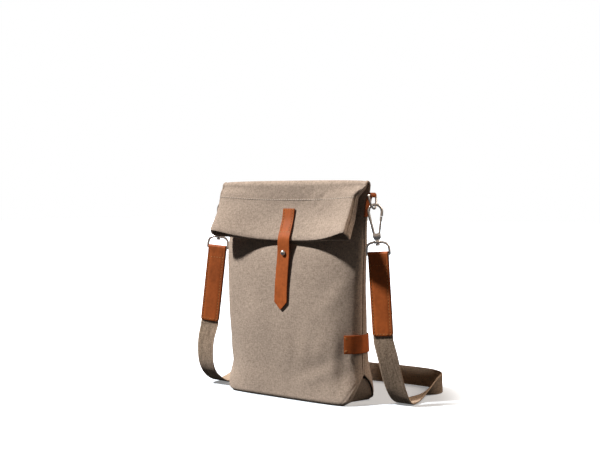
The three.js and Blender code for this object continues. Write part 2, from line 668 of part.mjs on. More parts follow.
function sideHardware({ name, sign, collar, ring, hook: snap, swing }) {
  const strapFrame = hangingFrame(collar, ring);
  strapFrame.add(makeMesh(`${name}_strap_ring`, strapRingSolid(), 'metal'));
  strapFrame.add(makeMesh(`${name}_strap_end`, leatherEnd(), 'leather'));
  const snapFrame = hangingFrame(collar, snap);
  snapFrame.add(makeMesh(`${name}_hook_frame`, hookFrame(), 'metal'));
  snapFrame.add(makeMesh(`${name}_hook_gate`, hookGate(), 'metal'));
  const tabFrame = new THREE.Group();
  tabFrame.position.set(sign * tab.barX, tab.y, tab.barZ);
  tabFrame.rotation.z = sign > 0 ? 0 : Math.PI;
  tabFrame.add(makeMesh(`${name}_side_tab`, sideTab(), 'leather'));
  const loop = makeMesh(`${name}_d_ring`, closedRing(new DRingCurve(), dRing.wire, dRing.steps), 'metal');
  loop.rotation.y = -THREE.MathUtils.degToRad(swing);
  tabFrame.add(loop);
  return [strapFrame, snapFrame, tabFrame];
}

// The webbing starts between the leaves of the right leather end and finishes between those of the left.
function strapWebbing() {
  const half = STRAP_WIDTH / 2;
  const inLeather = (side, flip) => {
    const { matrix } = hangingFrame(side.collar, side.ring);
    const width = new THREE.Vector3(flip, 0, 0).transformDirection(matrix);
    const heights = [strapEnd.overlap, strapEnd.overlap / 2, -strapEnd.exit, -strapEnd.lead];
    return heights.map((height) => (
      { middle: new THREE.Vector3(0, 0, strapEnd.bottom + height).applyMatrix4(matrix), width }
    ));
  };
  const free = strapRoute.map(({ x, y, lift, turn, tilt }) => {
    const [turned, tilted] = [turn, tilt].map(THREE.MathUtils.degToRad);
    const width = new THREE.Vector3(
      Math.cos(tilted) * Math.cos(turned), Math.cos(tilted) * Math.sin(turned), Math.sin(tilted),
    );
    const z = lift + half * Math.abs(width.z) + (WEBBING / 2) * Math.cos(tilted);
    return { middle: new THREE.Vector3(x, y, z), width };
  });
  const rows = [...inLeather(sides[0], 1), ...free, ...inLeather(sides[1], -1).reverse()];
  const middles = new THREE.CatmullRomCurve3(rows.map((row) => row.middle));
  const widths = new THREE.CatmullRomCurve3(rows.map((row) => row.width));
  const steps = ROUTE_STEPS * (rows.length - 1);
  const stations = Array.from({ length: steps + 1 }, (_, step) => (
    { middle: middles.getPoint(step / steps), width: widths.getPoint(step / steps), half }
  ));
  return ribbon(stations, WEBBING);
}

const bag = new THREE.Group();
const stations = tubeStations();
bag.add(makeMesh('front_panel', canvasPanel(stations, 'front'), 'canvas'));
bag.add(makeMesh('back_panel', canvasPanel(stations, 'back'), 'canvas'));
bag.add(makeMesh('base_gusset', baseGusset(), 'canvas'));
bag.add(makeMesh('closure_strap', closureStrap(), 'leather'));
bag.add(makeMesh('closure_stud', closureStud(), 'metal'));
bag.add(makeMesh('side_label', sideLabel(), 'leather'));
for (const side of sides) bag.add(...sideHardware(side));
bag.add(makeMesh('strap_webbing', strapWebbing(), 'webbing'));

export default bag;
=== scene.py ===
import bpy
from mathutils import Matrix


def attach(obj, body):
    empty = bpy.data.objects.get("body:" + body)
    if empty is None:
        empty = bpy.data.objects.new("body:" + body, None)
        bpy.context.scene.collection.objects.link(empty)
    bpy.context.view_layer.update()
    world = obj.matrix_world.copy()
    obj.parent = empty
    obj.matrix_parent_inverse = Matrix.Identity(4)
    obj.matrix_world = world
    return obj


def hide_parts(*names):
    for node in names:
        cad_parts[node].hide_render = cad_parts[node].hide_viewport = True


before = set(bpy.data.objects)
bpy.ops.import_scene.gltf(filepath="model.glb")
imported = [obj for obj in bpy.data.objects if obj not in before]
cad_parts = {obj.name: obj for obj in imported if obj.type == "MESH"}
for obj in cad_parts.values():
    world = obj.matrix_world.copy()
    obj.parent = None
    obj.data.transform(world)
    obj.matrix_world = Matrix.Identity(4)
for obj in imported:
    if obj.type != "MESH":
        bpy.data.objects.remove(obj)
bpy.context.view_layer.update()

import math

import bmesh
import bpy
import numpy as np
from bpy.props import FloatProperty, FloatVectorProperty, IntProperty, PointerProperty
from mathutils import Euler, Matrix, Vector, noise

bl_info = {
    "name": "Fold-over crossbody bag",
    "version": (1, 0, 0),
    "blender": (4, 5, 0),
    "location": "View3D > Sidebar > Bag",
    "description": "Dresses a fold-over crossbody bag in canvas, leather, webbing and nickel",
    "category": "Add Mesh",
}

# Sizes below are in millimetres, in the frame's own axes: x across the bag, -y to its front, z up.
MM = 0.001
# Clearance between pieces that turn or lie in each other
GAP = 0.3
# Steps along a path whose root is below this count as none, a turned solid's axis has this radius, and a
# groove this shallow is none.
SAME_PLACE = 1e-4
AXIS_RADIUS = 1e-3
NO_GROOVE = 1e-6


def table(columns, *rows):
    """Rows of values as dictionaries by column."""
    return tuple(dict(zip(columns, row)) for row in rows)


# Canvas tube: one row for each level of the standing body. seam_y is the side seam's place, half_width its
# distance from the middle and left how much farther the left one is. front and back are how far the panels
# stand out, the squares their corners, and left_square the front panel's left one.
BODY_COLUMNS = ("seam_y", "half_width", "left", "front", "back", "front_square", "left_square", "back_square")
BODY_LEVELS = table(
    ("z", *BODY_COLUMNS),
    (0, 0, 103.5, 0, 34, 34, 5, 5, 6),
    (36, 0, 98.8, 0.5, 34, 33, 2.9, 3.2, 3.8),
    (60, 0, 98.2, 2.6, 35, 30, 2.7, 3.1, 3),
    (85, 0, 98.4, 3.6, 35.3, 26.5, 2.6, 3.3, 2.8),
    (120, 0, 98.8, 4.7, 34, 21, 2.5, 3.6, 2.7),
    (160, -1, 100, 5, 30, 14, 2.4, 3.8, 2.7),
    (190, -2, 102.2, 4.2, 24, 9.5, 2.4, 3.8, 2.7),
    (213, -5, 104.6, 1.5, 12, 6.5, 2.5, 3.2, 2.8),
    (240, -7.8, 108.8, 0, 2.7, 2.7, 2.8, 2.8, 2.8),
    (257.5, -8, 111.4, 0, 2.5, 2.5, 2.8, 2.8, 2.8),
)
# Crown: the flattened tube turns over this centre line, then hangs down as the flap.
CROWN = dict(y=-12.25, z=263.5, radius=4.25, half_width=112, depth=2.5, square=2.8)
# Flap: middle and ends are half of the tube's depth there and at its ends, where the mouth gapes.
FLAP_COLUMNS = ("y", "z", "half_width", "middle", "ends", "square")
FLAP_LEVELS = table(
    FLAP_COLUMNS,
    (-16.5, 263.5, 112, 2.5, 2.5, 2.8),
    (-16.6, 254, 111.4, 2.4, 7, 3.2),
    (-16.9, 238, 109.6, 2.3, 10, 3.6),
    (-19.6, 221.5, 107.8, 2.2, 11.2, 4),
    (-24, 208, 106.2, 2.2, 11.8, 4.4),
    (-28.6, 196.5, 105, 2.2, 12, 4.4),
)
# How far the flap's ends swing out on each side, how far its right edge draws in at some distances below the
# crown, and how far that edge lifts at the hem
FLARE = dict(left=math.radians(17), right=math.radians(12))
RIGHT_DROP = (0, 4, 16, 35, 55, 67)
RIGHT_SHIFT = (0, -2.5, -10.5, -8.5, -5.5, -2.5)
RIGHT_LIFT = 3
LIFT_POWER = 3
# How much squarer the right end is than the left one, for each panel's leaf of the flap
END_SQUARE = dict(front=1.8, back=2.2)
# How the swing and the gape grow towards the ends, and the distance below the crown over which the swing
# starts
FLARE_POWER = 1.4
FLARE_RAMP = 10
GAPE_POWER = 4
# Points of a section's outline, and how much they crowd at its turns
OUTLINE_SAMPLES = 960
TURN_WEIGHT = 40
# Sections of the tube: along the rolled lower edge, up the body above LOW_TOP, over the crown and down the
# flap
TUBE_STEPS = dict(roll=8, body=76, crown=17, flap=28)
LOW_TOP = 40
# Shares across a panel where its columns get farther apart, and how many there are in each stretch
NEAR_SEAM = 0.018
BESIDE_SEAM = 0.06
COLUMNS = dict(near=20, beside=14, middle=97)

# The panels are cut away below the gusset's apex, down to the base's corner.
APEX_HEIGHT = 36
CORNER_SHARE = 0.235
CORNER_POWER = 1.3
GUSSET_TOP = 30
# Radius by which the panels' lower edge rolls in under the bag
ROLL_RADIUS = 5
# Base: half of its crease's length, its inset from the panels, its flat size, and how round its crease is, as
# a share of its half depth
CREASE_HALF_LENGTH = 80
GUSSET_INSET = 3.4
GUSSET_HALF_DEPTH = 33
CREASE_ROUND = 0.05
GUSSET_STEPS = dict(rise=19, floor=30, across=41)

# Folds of the canvas: place of the middle, slope in degrees, half length, half width and height. On the flap
# z is the distance up from its hem.
FOLD_COLUMNS = ("x", "z", "slope", "length", "width", "height")
FRONT_FOLDS = table(
    FOLD_COLUMNS,
    (85, 58, 88, 32, 8, -2.2),
    (58, 70, 76, 34, 9, 0.8),
    (36, 66, 82, 40, 10, 0.7),
    (72, 128, 52, 30, 9, 0.7),
    (8, 60, 86, 38, 13, 0.5),
    (-66, 58, 112, 34, 10, 0.8),
    (60, 36, 24, 32, 8, 0.9),
    (-80, 42, 140, 24, 8, 0.9),
    (-40, 110, 96, 54, 16, 0.5),
)
BACK_FOLDS = table(
    FOLD_COLUMNS,
    (40, 60, 70, 44, 10, 0.9),
    (-45, 70, 108, 48, 10, 0.9),
    (0, 120, 90, 60, 16, 0.7),
    (70, 40, 40, 30, 8, 0.9),
    (-72, 38, 140, 30, 8, 0.9),
)
FLAP_FOLDS = table(
    FOLD_COLUMNS,
    (42, 56, 52, 16, 5, 0.55),
    (56, 50, 50, 16, 5, 0.5),
    (72, 58, 40, 18, 6, 0.4),
    (-70, 30, 20, 40, 12, 0.5),
    (20, 24, -12, 40, 12, 0.4),
)
# The valley beside a fold: its distance in half widths, and its depth as a share of the fold's height
VALLEY = dict(at=1.6, depth=0.6)
# Distances over which folds die out: beside an edge, below the crown, and from the flap's crown and hem
CALM = dict(edge=12, below_crown=60, crown_fade=40, flap=70, flap_fade=12, hem_fade=8)
# The cloth's slack between its folds
SLACK = dict(height=0.7, spread=42)
# The rolled band beside an edge and the ditch where it is sewn, and the seams' strength by the run up the bag
SEAM_BEAD = dict(width=3.4, height=1.0, ditch_at=4.0, ditch=0.9, ditch_width=0.7)
SEAM_RUN = (0, 34, 60, 190, 262, 290)
SEAM_STRENGTH = (0.2, 0.35, 0.75, 0.6, 0.6, 1.0)
# The slanting edges at the base roll in towards the base's folded ends.
BASE_ROLL = dict(width=6, depth=2.0, reach=1.3)
# The hem is sewn at this height above the flap's edge, and the edge rolls in.
HEM = dict(height=52, ditch=0.1, roll=4, roll_depth=0.9)
# How far a panel's rim stands out at the base, the left seam, the hem and the right seam
PANEL_RIM = (0, 0.12, 0.7, 0.12)

# Strips of leather and webbing: distances from the edge to the lines of points along it, in corner radii, and
# how far a sewn line presses each in. The two lines nearest the middle lie at shares of what is left.
STRIP_INSETS = np.array([0, 0.3, 1, 3.4, 4.2, 5, 5.8, 6.6])
STRIP_PRESS = np.array([0, 0, 0, 0, 0.6, 1, 0.6, 0, 0, 0])
STRIP_MIDDLE = np.array([0.6, 0.2])
LEATHER_CORNER = 0.5

# Leather closure strap, by its middle down the front, and its stud
CLOSURE_PATH = table(
    ("x", "y", "z", "half"),
    (0.7, -21.1, 235.6, 9),
    (0.7, -23.4, 223, 9),
    (0.7, -28, 210, 9),
    (0.7, -32, 199, 9.1),
    (0.6, -32.5, 191, 9.2),
    (0.3, -32.1, 181, 9.3),
    (-0.5, -33.7, 160, 9.5),
    (-1.2, -35.1, 138, 9.7),
    (-1.2, -36, 120, 9.8),
    (-0.9, -36.3, 111, 1),
)
# Height above which the closure strap is sewn to the flap
CLOSURE_SEWN = 206.5
CLOSURE_STEPS = dict(strap=10, tip=8)
STUD = dict(
    x=0.7, z=181, foot=-29, plate_radius=4.5, plate=1.2, neck_radius=1.7, neck=3.4, head_radius=3.6, dome=2.8,
    ease=0.3, lip=0.1, dome_from=0.12, dome_steps=12,
)

# Leather label, side tabs with their D-rings, snap hooks with their gates, strap rings and leather strap ends
LABEL = dict(bottom=62, top=84.5, share=0.2, stand_off=0.5, steps=30)
TAB = dict(
    bar_x=114.5, y=-8, bar_z=252, width=11, bottom=226, top=247, stand_off=-0.7, steps=8, roll=(178, -96),
    roll_steps=30,
)
D_RING = dict(wire=1.25, half_width=7.7, drop=16.3, bar_steps=10, bow_steps=48)
HOOK = dict(
    wire=1.6, leg_foot=(-2.6, 6.5), leg_middle=(-4.3, 18), arc_x=1.1, arc_height=36.5, arc_radius=7.9,
    arc_steps=8, curve_steps=6, nose=(8, 30), base_bottom=2.5, shoulder=5, base_top=10.5, base_half=4.6,
    neck_half=3, base_depth=4.6, ease=0.3, stem=1.7, stem_lap=0.5, rivet=2.6, rivet_top=-2.3,
    rivet_bottom=-4.4, rivet_ease=0.6,
)
GATE = dict(
    pivot=(2.9, 8.3), tip=(7.5, 29.6), rod=1.3, rod_start=4.2, eye=1.9, eye_hole=1.1, eye_ease=0.2, tang=1.7,
    tang_from=1.2, tang_lap=0.8, tang_ease=0.25, pin=0.8, pin_stand=0.25, pin_ease=0.2, rod_steps=4,
)
# Slot of the hook's base that the gate turns in. lap is how far its web reaches into the cheeks.
SLOT = dict(left=-0.4, floor=5.9, width=GATE["tang"] + 2 * GAP, lap=0.05)
STRAP_RING = dict(
    wire=1.5, half_width=14.2, shoulder=-9.5, bar_z=-14.5, square=2.6, foot=2, collar=4, collar_half=1.9,
    bar_steps=14, bow_steps=90,
)
STRAP_END = dict(
    width=24.8, bottom=-112, neck=6, overlap=26, exit=2, lead=5, corner=2.2, sewn_from=2, sewn_to=-27,
    grooved=4, leaf_steps=40, loop_steps=18,
)
# Turned solids: their sides, the ease of their edges, and the turn that lays their axis to the front
TURNED_SIDES = dict(stud=40, collar=32, pin=20, stem=24, rivet=24, eye=24)
TURNED_EASE = 0.35
TO_FRONT = Matrix.Rotation(math.pi / 2, 4, "X")
# Depth by which a sewn line presses the leather in, and the stitches on leather, label and hem
GROOVE = 0.3
LEATHER_STITCH = dict(inset=2.5, share=0.68, width=0.9, height=0.7, end_steps=6, cross_steps=8)
LABEL_STITCH = dict(
    insets=(1.6, 3.4), corner=4.4, reach=1.6, slant=0.8, pitch=1.0, length=1.3, width=0.9, height=0.8,
)
HEM_STITCH = dict(margin=6, lift=0.05, pitch=3.6, length=2.3, width=1.2, height=1.1)

# How each side's hardware hangs: turn about z, lean sideways and pitch, in degrees, from its collar. swing is
# how far the D-ring swings out.
SIDES = table(
    ("name", "sign", "collar", "ring", "hook", "swing"),
    ("right", 1, (120.4, -5.2, 196.4), (15, -3.2, 1.6), (37, -6.1, 0), 9.7),
    ("left", -1, (-125.8, -9.6, 197.4), (18, 5.2, -3.6), (171.7, -7.8, 3.8), 22),
)

# Free webbing from the right leather end round behind the bag to the left one: place of its middle, height of
# its lower edge, and turn and tilt of the line across it.
STRAP_WIDTH = 24.8
STRAP_CORNER = 0.6
STRAP_STEPS = 12
STRAP_ROUTE = (
    (131.2, 1.4, 57, 19, 0),
    (133.6, 3.6, 43, 18, 0),
    (135.6, 6.6, 30, 15, 0),
    (137.8, 11, 17, 10, 0),
    (139.6, 17.4, 6.4, 3, 0),
    (140, 26, 1.2, -5, 1),
    (139.2, 37, 0.5, -12, 2),
    (138.4, 48, 0.6, -20, 4),
    (138.4, 59, 0.8, -26, 10),
    (139.2, 70, 1, -28, 22),
    (140.8, 81, 0.8, -26, 40),
    (142.4, 92, 0.6, -20, 62),
    (142.8, 104, 0.4, -10, 82),
    (139.8, 117.5, 0.3, 0, 90),
    (131, 129, 0.3, 0, 90),
    (115, 138.5, 0.3, 0, 90),
    (95, 141.5, 0.3, 0, 90),
    (70, 141.5, 0.3, 0, 90),
    (40, 137.5, 0.3, 0, 90),
    (0, 134.5, 0.3, 0, 90),
    (-40, 134.5, 0.3, 0, 90),
    (-78, 135.5, 0.3, 180, 90),
    (-104, 132, 0.3, 180, 90),
    (-122, 120, 0.3, 180, 90),
    (-131, 103, 0.3, 180, 90),
    (-134.2, 84, 0.4, 180, 78),
    (-135, 65, 0.4, 180, 54),
    (-134.8, 48, 0.4, 180, 28),
    (-134.5, 32, 0.5, 180, 10),
    (-134.5, 18, 0.6, 180, 3),
    (-134.6, 4.5, 2, 180, 1),
    (-134.8, -8, 8.2, 180, 0),
    (-135, -18.5, 17.5, 180, 0),
    (-135.2, -24.6, 30, 182, 0),
    (-135.4, -26, 45, 185, 0),
    (-135.2, -24.4, 62, 190, 0),
)

# Looks: how closely patterns follow each other across the threads and along them, in repeats a millimetre,
# and the webbing's ribs, with how far the weft bends round them
CANVAS_YARN = (0.9, 0.16)
LEATHER_PULL = (0.5, 0.06)
WEBBING_STREAK = (0.9, 0.05)
RIB_PITCH = 1.55
WEFT_PITCH = 1.3
WEFT_BEND = 1.2
# Floor: half of its side, the share of light that it throws on to the bag, its glow far from the bag and how
# much less it glows beside it, and the distances from the bag, in metres, between the two
FLOOR = dict(reach=8000, bounce=0.07, glow=1.1, shade=0.86, fade=(0.17, 0.235))
# Lights, in metres: the way to the key light, and the place, aim, size and colour of the light beside the bag
WHITE = (1, 1, 1, 1)
FILL_COLOUR = (1, 0.8, 0.66, 1)
KEY_WAY = (-0.44, -0.485, 0.755)
SIDE_LIGHT = dict(place=(0.9, 0.5, 0.95), aim=(0, 0, 0.15), size=0.8, colour=(1, 0.85, 0.72))
# Camera, fitted to the photograph
CAMERA = dict(place=(0.757, -1.007, 0.249), tilt=88.43, turn=36.87, lens=60, sensor=36)


class CanvasSettings(bpy.types.PropertyGroup):
    """Sizes and colours of the canvas."""

    # The canvas is mixed between these two colours by a tone that rises with its relief. The dark colour in
    # the weave's hollows is partly painted shade, and the light one on the proud yarn is partly painted
    # highlight. The rest is the yarn's own random tone.
    dark: FloatVectorProperty(
        name="Dark yarn", description="Colour in the hollows of the weave", subtype="COLOR",
        default=(0.25, 0.184, 0.138), min=0, max=1,
    )
    light: FloatVectorProperty(
        name="Light yarn", description="Colour of the yarn that stands proud", subtype="COLOR",
        default=(0.69, 0.54, 0.425), min=0, max=1,
    )
    thickness: FloatProperty(
        name="Thickness", description="Thickness of the canvas", unit="LENGTH", default=0.0018,
    )
    pitch: FloatProperty(
        name="Thread pitch", description="Distance from one thread to the next", unit="LENGTH",
        default=0.0011,
    )
    fold: FloatProperty(
        name="Fold height", description="How strongly the folds show", subtype="FACTOR", default=1.0,
        min=0, max=2,
    )


class LeatherSettings(bpy.types.PropertyGroup):
    """Sizes and colours of the leather trims and their thread."""

    colour: FloatVectorProperty(
        name="Colour", description="Colour of the tanned face", subtype="COLOR", default=(0.45, 0.107, 0.022),
        min=0, max=1,
    )
    edge: FloatVectorProperty(
        name="Edge", description="Colour of the burnished edge", subtype="COLOR", default=(0.2, 0.05, 0.016),
        min=0, max=1,
    )
    thread: FloatVectorProperty(
        name="Thread", description="Colour of the sewing thread on the leather", subtype="COLOR",
        default=(0.64, 0.27, 0.08), min=0, max=1,
    )
    canvas_thread: FloatVectorProperty(
        name="Canvas thread", description="Colour of the sewing thread on the canvas", subtype="COLOR",
        default=(0.86, 0.76, 0.64), min=0, max=1,
    )
    thickness: FloatProperty(
        name="Thickness", description="Thickness of the leather", unit="LENGTH", default=0.0014,
    )
    pitch: FloatProperty(
        name="Stitch pitch", description="Distance from one stitch to the next", unit="LENGTH",
        default=0.0036,
    )


class WebbingSettings(bpy.types.PropertyGroup):
    """Sizes and colours of the shoulder strap."""

    # The webbing is mixed between these two colours by a tone that rises with its relief. The dark colour in
    # the hollows is partly painted shade, and the light one on the raised ribs is partly painted highlight.
    # The rest is the yarn's own random streaks.
    dark: FloatVectorProperty(
        name="Dark yarn", description="Colour in the hollows of the webbing", subtype="COLOR",
        default=(0.15, 0.1, 0.066), min=0, max=1,
    )
    light: FloatVectorProperty(
        name="Light yarn", description="Colour of the webbing's raised ribs", subtype="COLOR",
        default=(0.70, 0.515, 0.365), min=0, max=1,
    )
    thickness: FloatProperty(
        name="Thickness", description="Thickness of the webbing", unit="LENGTH", default=0.0018,
    )


class MetalSettings(bpy.types.PropertyGroup):
    """Finish of the nickel fittings."""

    colour: FloatVectorProperty(
        name="Colour", description="Colour of the plating", subtype="COLOR", default=(0.80, 0.79, 0.77),
        min=0, max=1,
    )
    roughness: FloatProperty(
        name="Roughness", description="Roughness of the plating", subtype="FACTOR", default=0.16,
        min=0, max=1,
    )
    sides: IntProperty(name="Wire sides", description="Sides of a round wire", default=16, min=6)


class StageSettings(bpy.types.PropertyGroup):
    """Light and floor round the bag."""

    key: FloatProperty(name="Key", description="Strength of the main light", default=4.8)
    key_size: FloatProperty(
        name="Key size", description="Angle that the main light takes up", subtype="ANGLE",
        default=math.radians(5),
    )
    fill: FloatProperty(name="Fill", description="Strength of the light from all round", default=0.022)
    side: FloatProperty(
        name="Side", description="Strength of the light beside the bag", unit="POWER", default=10.2,
    )
    shine: FloatProperty(name="Shine", description="Strength of what bright metal mirrors", default=0.4)
    floor: FloatVectorProperty(
        name="Floor", description="Colour of the floor", subtype="COLOR", default=(0.82, 0.88, 0.95),
        min=0, max=1,
    )


class BagSettings(bpy.types.PropertyGroup):
    """All settings of the bag."""

    canvas: PointerProperty(type=CanvasSettings)
    leather: PointerProperty(type=LeatherSettings)
    webbing: PointerProperty(type=WebbingSettings)
    metal: PointerProperty(type=MetalSettings)
    stage: PointerProperty(type=StageSettings)


# Node trees

class Field:
    """A value socket of a tree; arithmetic on fields adds Math nodes."""

    def __init__(self, book, socket):
        self.book = book
        self.socket = socket

    def math(self, operation, *others):
        made = self.book.node("ShaderNodeMath", {"operation": operation}, dict(enumerate((self, *others))))
        return Field(self.book, made.outputs[0])

    def reflected(self, operation, other):
        made = self.book.node("ShaderNodeMath", {"operation": operation}, {0: other, 1: self})
        return Field(self.book, made.outputs[0])

    def __add__(self, other):
        return self.math("ADD", other)

    __radd__ = __add__

    def __sub__(self, other):
        return self.math("SUBTRACT", other)

    def __rsub__(self, other):
        return self.reflected("SUBTRACT", other)

    def __mul__(self, other):
        return self.math("MULTIPLY", other)

    __rmul__ = __mul__

    def __truediv__(self, other):
        return self.math("DIVIDE", other)

    def sine(self):
        return self.math("SINE")

    def size(self):
        return self.math("ABSOLUTE")

    def fade(self, low, high):
        """1 at low or below, 0 at high or above."""
        settings = {"interpolation_type": "SMOOTHSTEP"}
        places = {"Value": self, "From Min": low, "From Max": high, "To Min": 1.0, "To Max": 0.0}
        made = self.book.node("ShaderNodeMapRange", settings, places)
        return Field(self.book, made.outputs["Result"])


class Book:
    """Adds nodes to one tree."""

    def __init__(self, tree):
        self.tree = tree
        tree.nodes.clear()

    def node(self, kind, settings=None, sockets=None):
        """One node: its settings first, then the values or links of its sockets."""
        made = self.tree.nodes.new(kind)
        for name, value in (settings or {}).items():
            setattr(made, name, value)
        for name, value in (sockets or {}).items():
            socket = made.inputs[name]
            if isinstance(value, Field):
                self.tree.links.new(value.socket, socket)
            elif isinstance(value, bpy.types.NodeSocket):
                self.tree.links.new(value, socket)
            else:
                socket.default_value = value
        return made

    def field(self, kind, output, settings=None, sockets=None):
        return Field(self, self.node(kind, settings, sockets).outputs[output])

    def parts(self, vector):
        """The three parts of a vector socket."""
        split = self.node("ShaderNodeSeparateXYZ", None, {"Vector": vector})
        return [Field(self, split.outputs[axis]) for axis in "XYZ"]

    def vector(self, x, y, z=0.0):
        return self.node("ShaderNodeCombineXYZ", None, {"X": x, "Y": y, "Z": z}).outputs["Vector"]

    def noise(self, vector, scale, detail=2.0, roughness=0.5):
        sockets = {"Vector": vector, "Scale": scale, "Detail": detail, "Roughness": roughness}
        return self.field("ShaderNodeTexNoise", 0, None, sockets)

    def mixed(self, factor, first, second):
        """A colour between two colours."""
        made = self.node("ShaderNodeMix", {"data_type": "RGBA"}, {0: factor, 6: first, 7: second})
        return made.outputs[2]


def opaque(colour, share=1.0):
    """A colour, or a share of it up to white, with its alpha."""
    return (*(min(1.0, share * part) for part in colour), 1.0)


def surface(name, build):
    """A material whose nodes build(book) adds; build gives the shader's sockets."""
    material = bpy.data.materials.new(name)
    material.use_nodes = True
    book = Book(material.node_tree)
    shader = book.node("ShaderNodeBsdfPrincipled", None, build(book))
    book.node("ShaderNodeOutputMaterial", None, {"Surface": shader.outputs["BSDF"]})
    return material


def bumped(book, height, depth, strength=1.0):
    """Normals of a surface with that relief, depth in millimetres."""
    sockets = {"Height": height, "Distance": depth * MM, "Strength": strength}
    return book.node("ShaderNodeBump", None, sockets).outputs["Normal"]


def lay_of(book):
    """How the piece's own sheet lies here, in millimetres: across it, along it, and from its nearest edge."""
    return book.parts(book.node("ShaderNodeAttribute", {"attribute_name": "lay"}).outputs["Vector"])


# Materials

def canvas_material(settings):
    def build(book):
        across, along, edge = lay_of(book)
        turns = 2 * math.pi * MM / settings.pitch
        weave = (across * turns).sine() * (along * turns).sine()
        fine, long = CANVAS_YARN
        warp = book.noise(book.vector(across * fine, along * long), scale=1.0, detail=3.0)
        weft = book.noise(book.vector(across * long, along * fine, z=7.0), scale=1.0, detail=3.0)
        fleck = book.noise(book.vector(across, along, z=3.0), scale=0.55, detail=3.0)
        cloud = book.noise(book.vector(across, along, z=5.0), scale=0.03, detail=2.0)
        # Painted shade in part: the weave and noise terms below raise both the tone and the relief's height.
        # The weave's hollows are painted darker and the proud yarn lighter, while the noise also gives the
        # yarn its own random tone.
        tone = 0.5 + 0.16 * weave + 0.6 * (warp - 0.5) + 0.6 * (weft - 0.5)
        tone = tone + 1.0 * (fleck - 0.5) + 0.25 * (cloud - 0.5) + 0.1 * edge.fade(low=0.2, high=1.2)
        height = 0.35 * weave + 0.8 * warp + 0.8 * weft + 0.5 * fleck
        return {
            "Base Color": book.mixed(tone, opaque(settings.dark), opaque(settings.light)),
            "Roughness": 0.94 - 0.06 * tone,
            "Specular IOR Level": 0.2,
            "Sheen Weight": 0.12,
            "Sheen Roughness": 0.5,
            "Normal": bumped(book, height, depth=0.22),
        }
    return surface("taupe_canvas", build)


def leather_material(settings):
    def build(book):
        place = book.node("ShaderNodeTexCoord").outputs["Object"]
        across, along, edge = lay_of(book)
        cloud = book.noise(place, scale=38.0, detail=3.0)
        mottle = book.noise(place, scale=260.0, detail=4.0, roughness=0.6)
        pores = book.field(
            "ShaderNodeTexVoronoi", "Distance", {"feature": "SMOOTH_F1"}, {"Vector": place, "Scale": 1100.0},
        )
        fine, long = LEATHER_PULL
        pull = book.noise(book.vector(across * fine, along * long), scale=1.0, detail=3.0)
        tone = 0.5 + 1.1 * (cloud - 0.5) + 0.8 * (mottle - 0.5) + 0.5 * (pull - 0.5)
        face = book.mixed(tone, opaque(settings.colour, share=0.6), opaque(settings.colour, share=1.36))
        press = book.field("ShaderNodeAttribute", "Fac", {"attribute_name": "press"})
        burnish = 0.85 * edge.fade(low=0.05, high=0.75) + 0.6 * press
        return {
            "Base Color": book.mixed(burnish, face, opaque(settings.edge)),
            "Roughness": 0.45 + 0.22 * mottle + 0.1 * burnish,
            "Specular IOR Level": 0.25,
            "Normal": bumped(book, pores + 0.5 * mottle, depth=0.09, strength=0.6),
        }
    return surface("tan_leather", build)


def webbing_material(settings):
    def build(book):
        across, along, edge = lay_of(book)
        rib = (across * (2 * math.pi / RIB_PITCH)).sine()
        weft = (along * (2 * math.pi / WEFT_PITCH) + rib * WEFT_BEND).sine()
        fine, long = WEBBING_STREAK
        streak = book.noise(book.vector(across * fine, along * long), scale=1.0, detail=3.0)
        fleck = book.noise(book.vector(across, along, z=4.0), scale=0.6, detail=3.0)
        selvedge = edge.fade(low=0.9, high=1.6)
        # Painted shade in part: the rib, weft and fleck terms raise both the tone and the relief's height, so
        # the hollows are painted darker and the ribs lighter. The streaks and the selvedge are the webbing's
        # own tone.
        tone = 0.42 + 0.15 * rib + 0.15 * weft + 1.0 * (streak - 0.5) + 1.1 * (fleck - 0.5)
        tone = tone + 0.4 * selvedge
        height = 0.6 * rib + 0.5 * weft + 0.5 * fleck
        return {
            "Base Color": book.mixed(tone, opaque(settings.dark), opaque(settings.light)),
            "Roughness": 0.92 - 0.05 * tone,
            "Specular IOR Level": 0.2,
            "Sheen Weight": 0.1,
            "Normal": bumped(book, height, depth=0.25),
        }
    return surface("taupe_webbing", build)


def metal_material(settings):
    def build(book):
        place = book.node("ShaderNodeTexCoord").outputs["Object"]
        haze = book.noise(place, scale=420.0, detail=3.0)
        rub = book.noise(place, scale=2600.0, detail=2.0)
        return {
            "Base Color": book.mixed(haze, opaque(settings.colour, share=0.9), opaque(settings.colour)),
            "Metallic": 1.0,
            "Roughness": settings.roughness + 0.12 * (haze - 0.4) + 0.05 * rub,
            "Normal": bumped(book, rub, depth=0.01, strength=0.4),
        }
    return surface("bright_nickel", build)


def thread_material(name, colour):
    def build(book):
        place = book.node("ShaderNodeTexCoord").outputs["Object"]
        ply = book.noise(place, scale=1500.0, detail=2.0)
        return {
            "Base Color": book.mixed(ply, opaque(colour, share=0.6), opaque(colour)),
            "Roughness": 0.7 + 0.2 * ply,
            "Normal": bumped(book, ply, depth=0.08),
        }
    return surface(name, build)


def bag_settings():
    return bpy.context.scene.bag


MATERIALS = {}


def material_for(name):
    """The finish with that name, made the first time that a piece asks for it."""
    settings = bag_settings()
    makers = {
        "canvas": (canvas_material, settings.canvas),
        "leather": (leather_material, settings.leather),
        "webbing": (webbing_material, settings.webbing),
        "metal": (metal_material, settings.metal),
        "leather_thread": (thread_material, "ochre_thread", settings.leather.thread),
        "canvas_thread": (thread_material, "cream_thread", settings.leather.canvas_thread),
    }
    if name not in MATERIALS:
        make, *given = makers[name]
        MATERIALS[name] = make(*given)
    return MATERIALS[name]


# Curves and tables

def hermite(part, here, there, leave, arrive):
    square, cube = part ** 2, part ** 3
    start = (2 * cube - 3 * square + 1) * here + (cube - 2 * square + part) * leave
    return start + (3 * square - 2 * cube) * there + (cube - square) * arrive


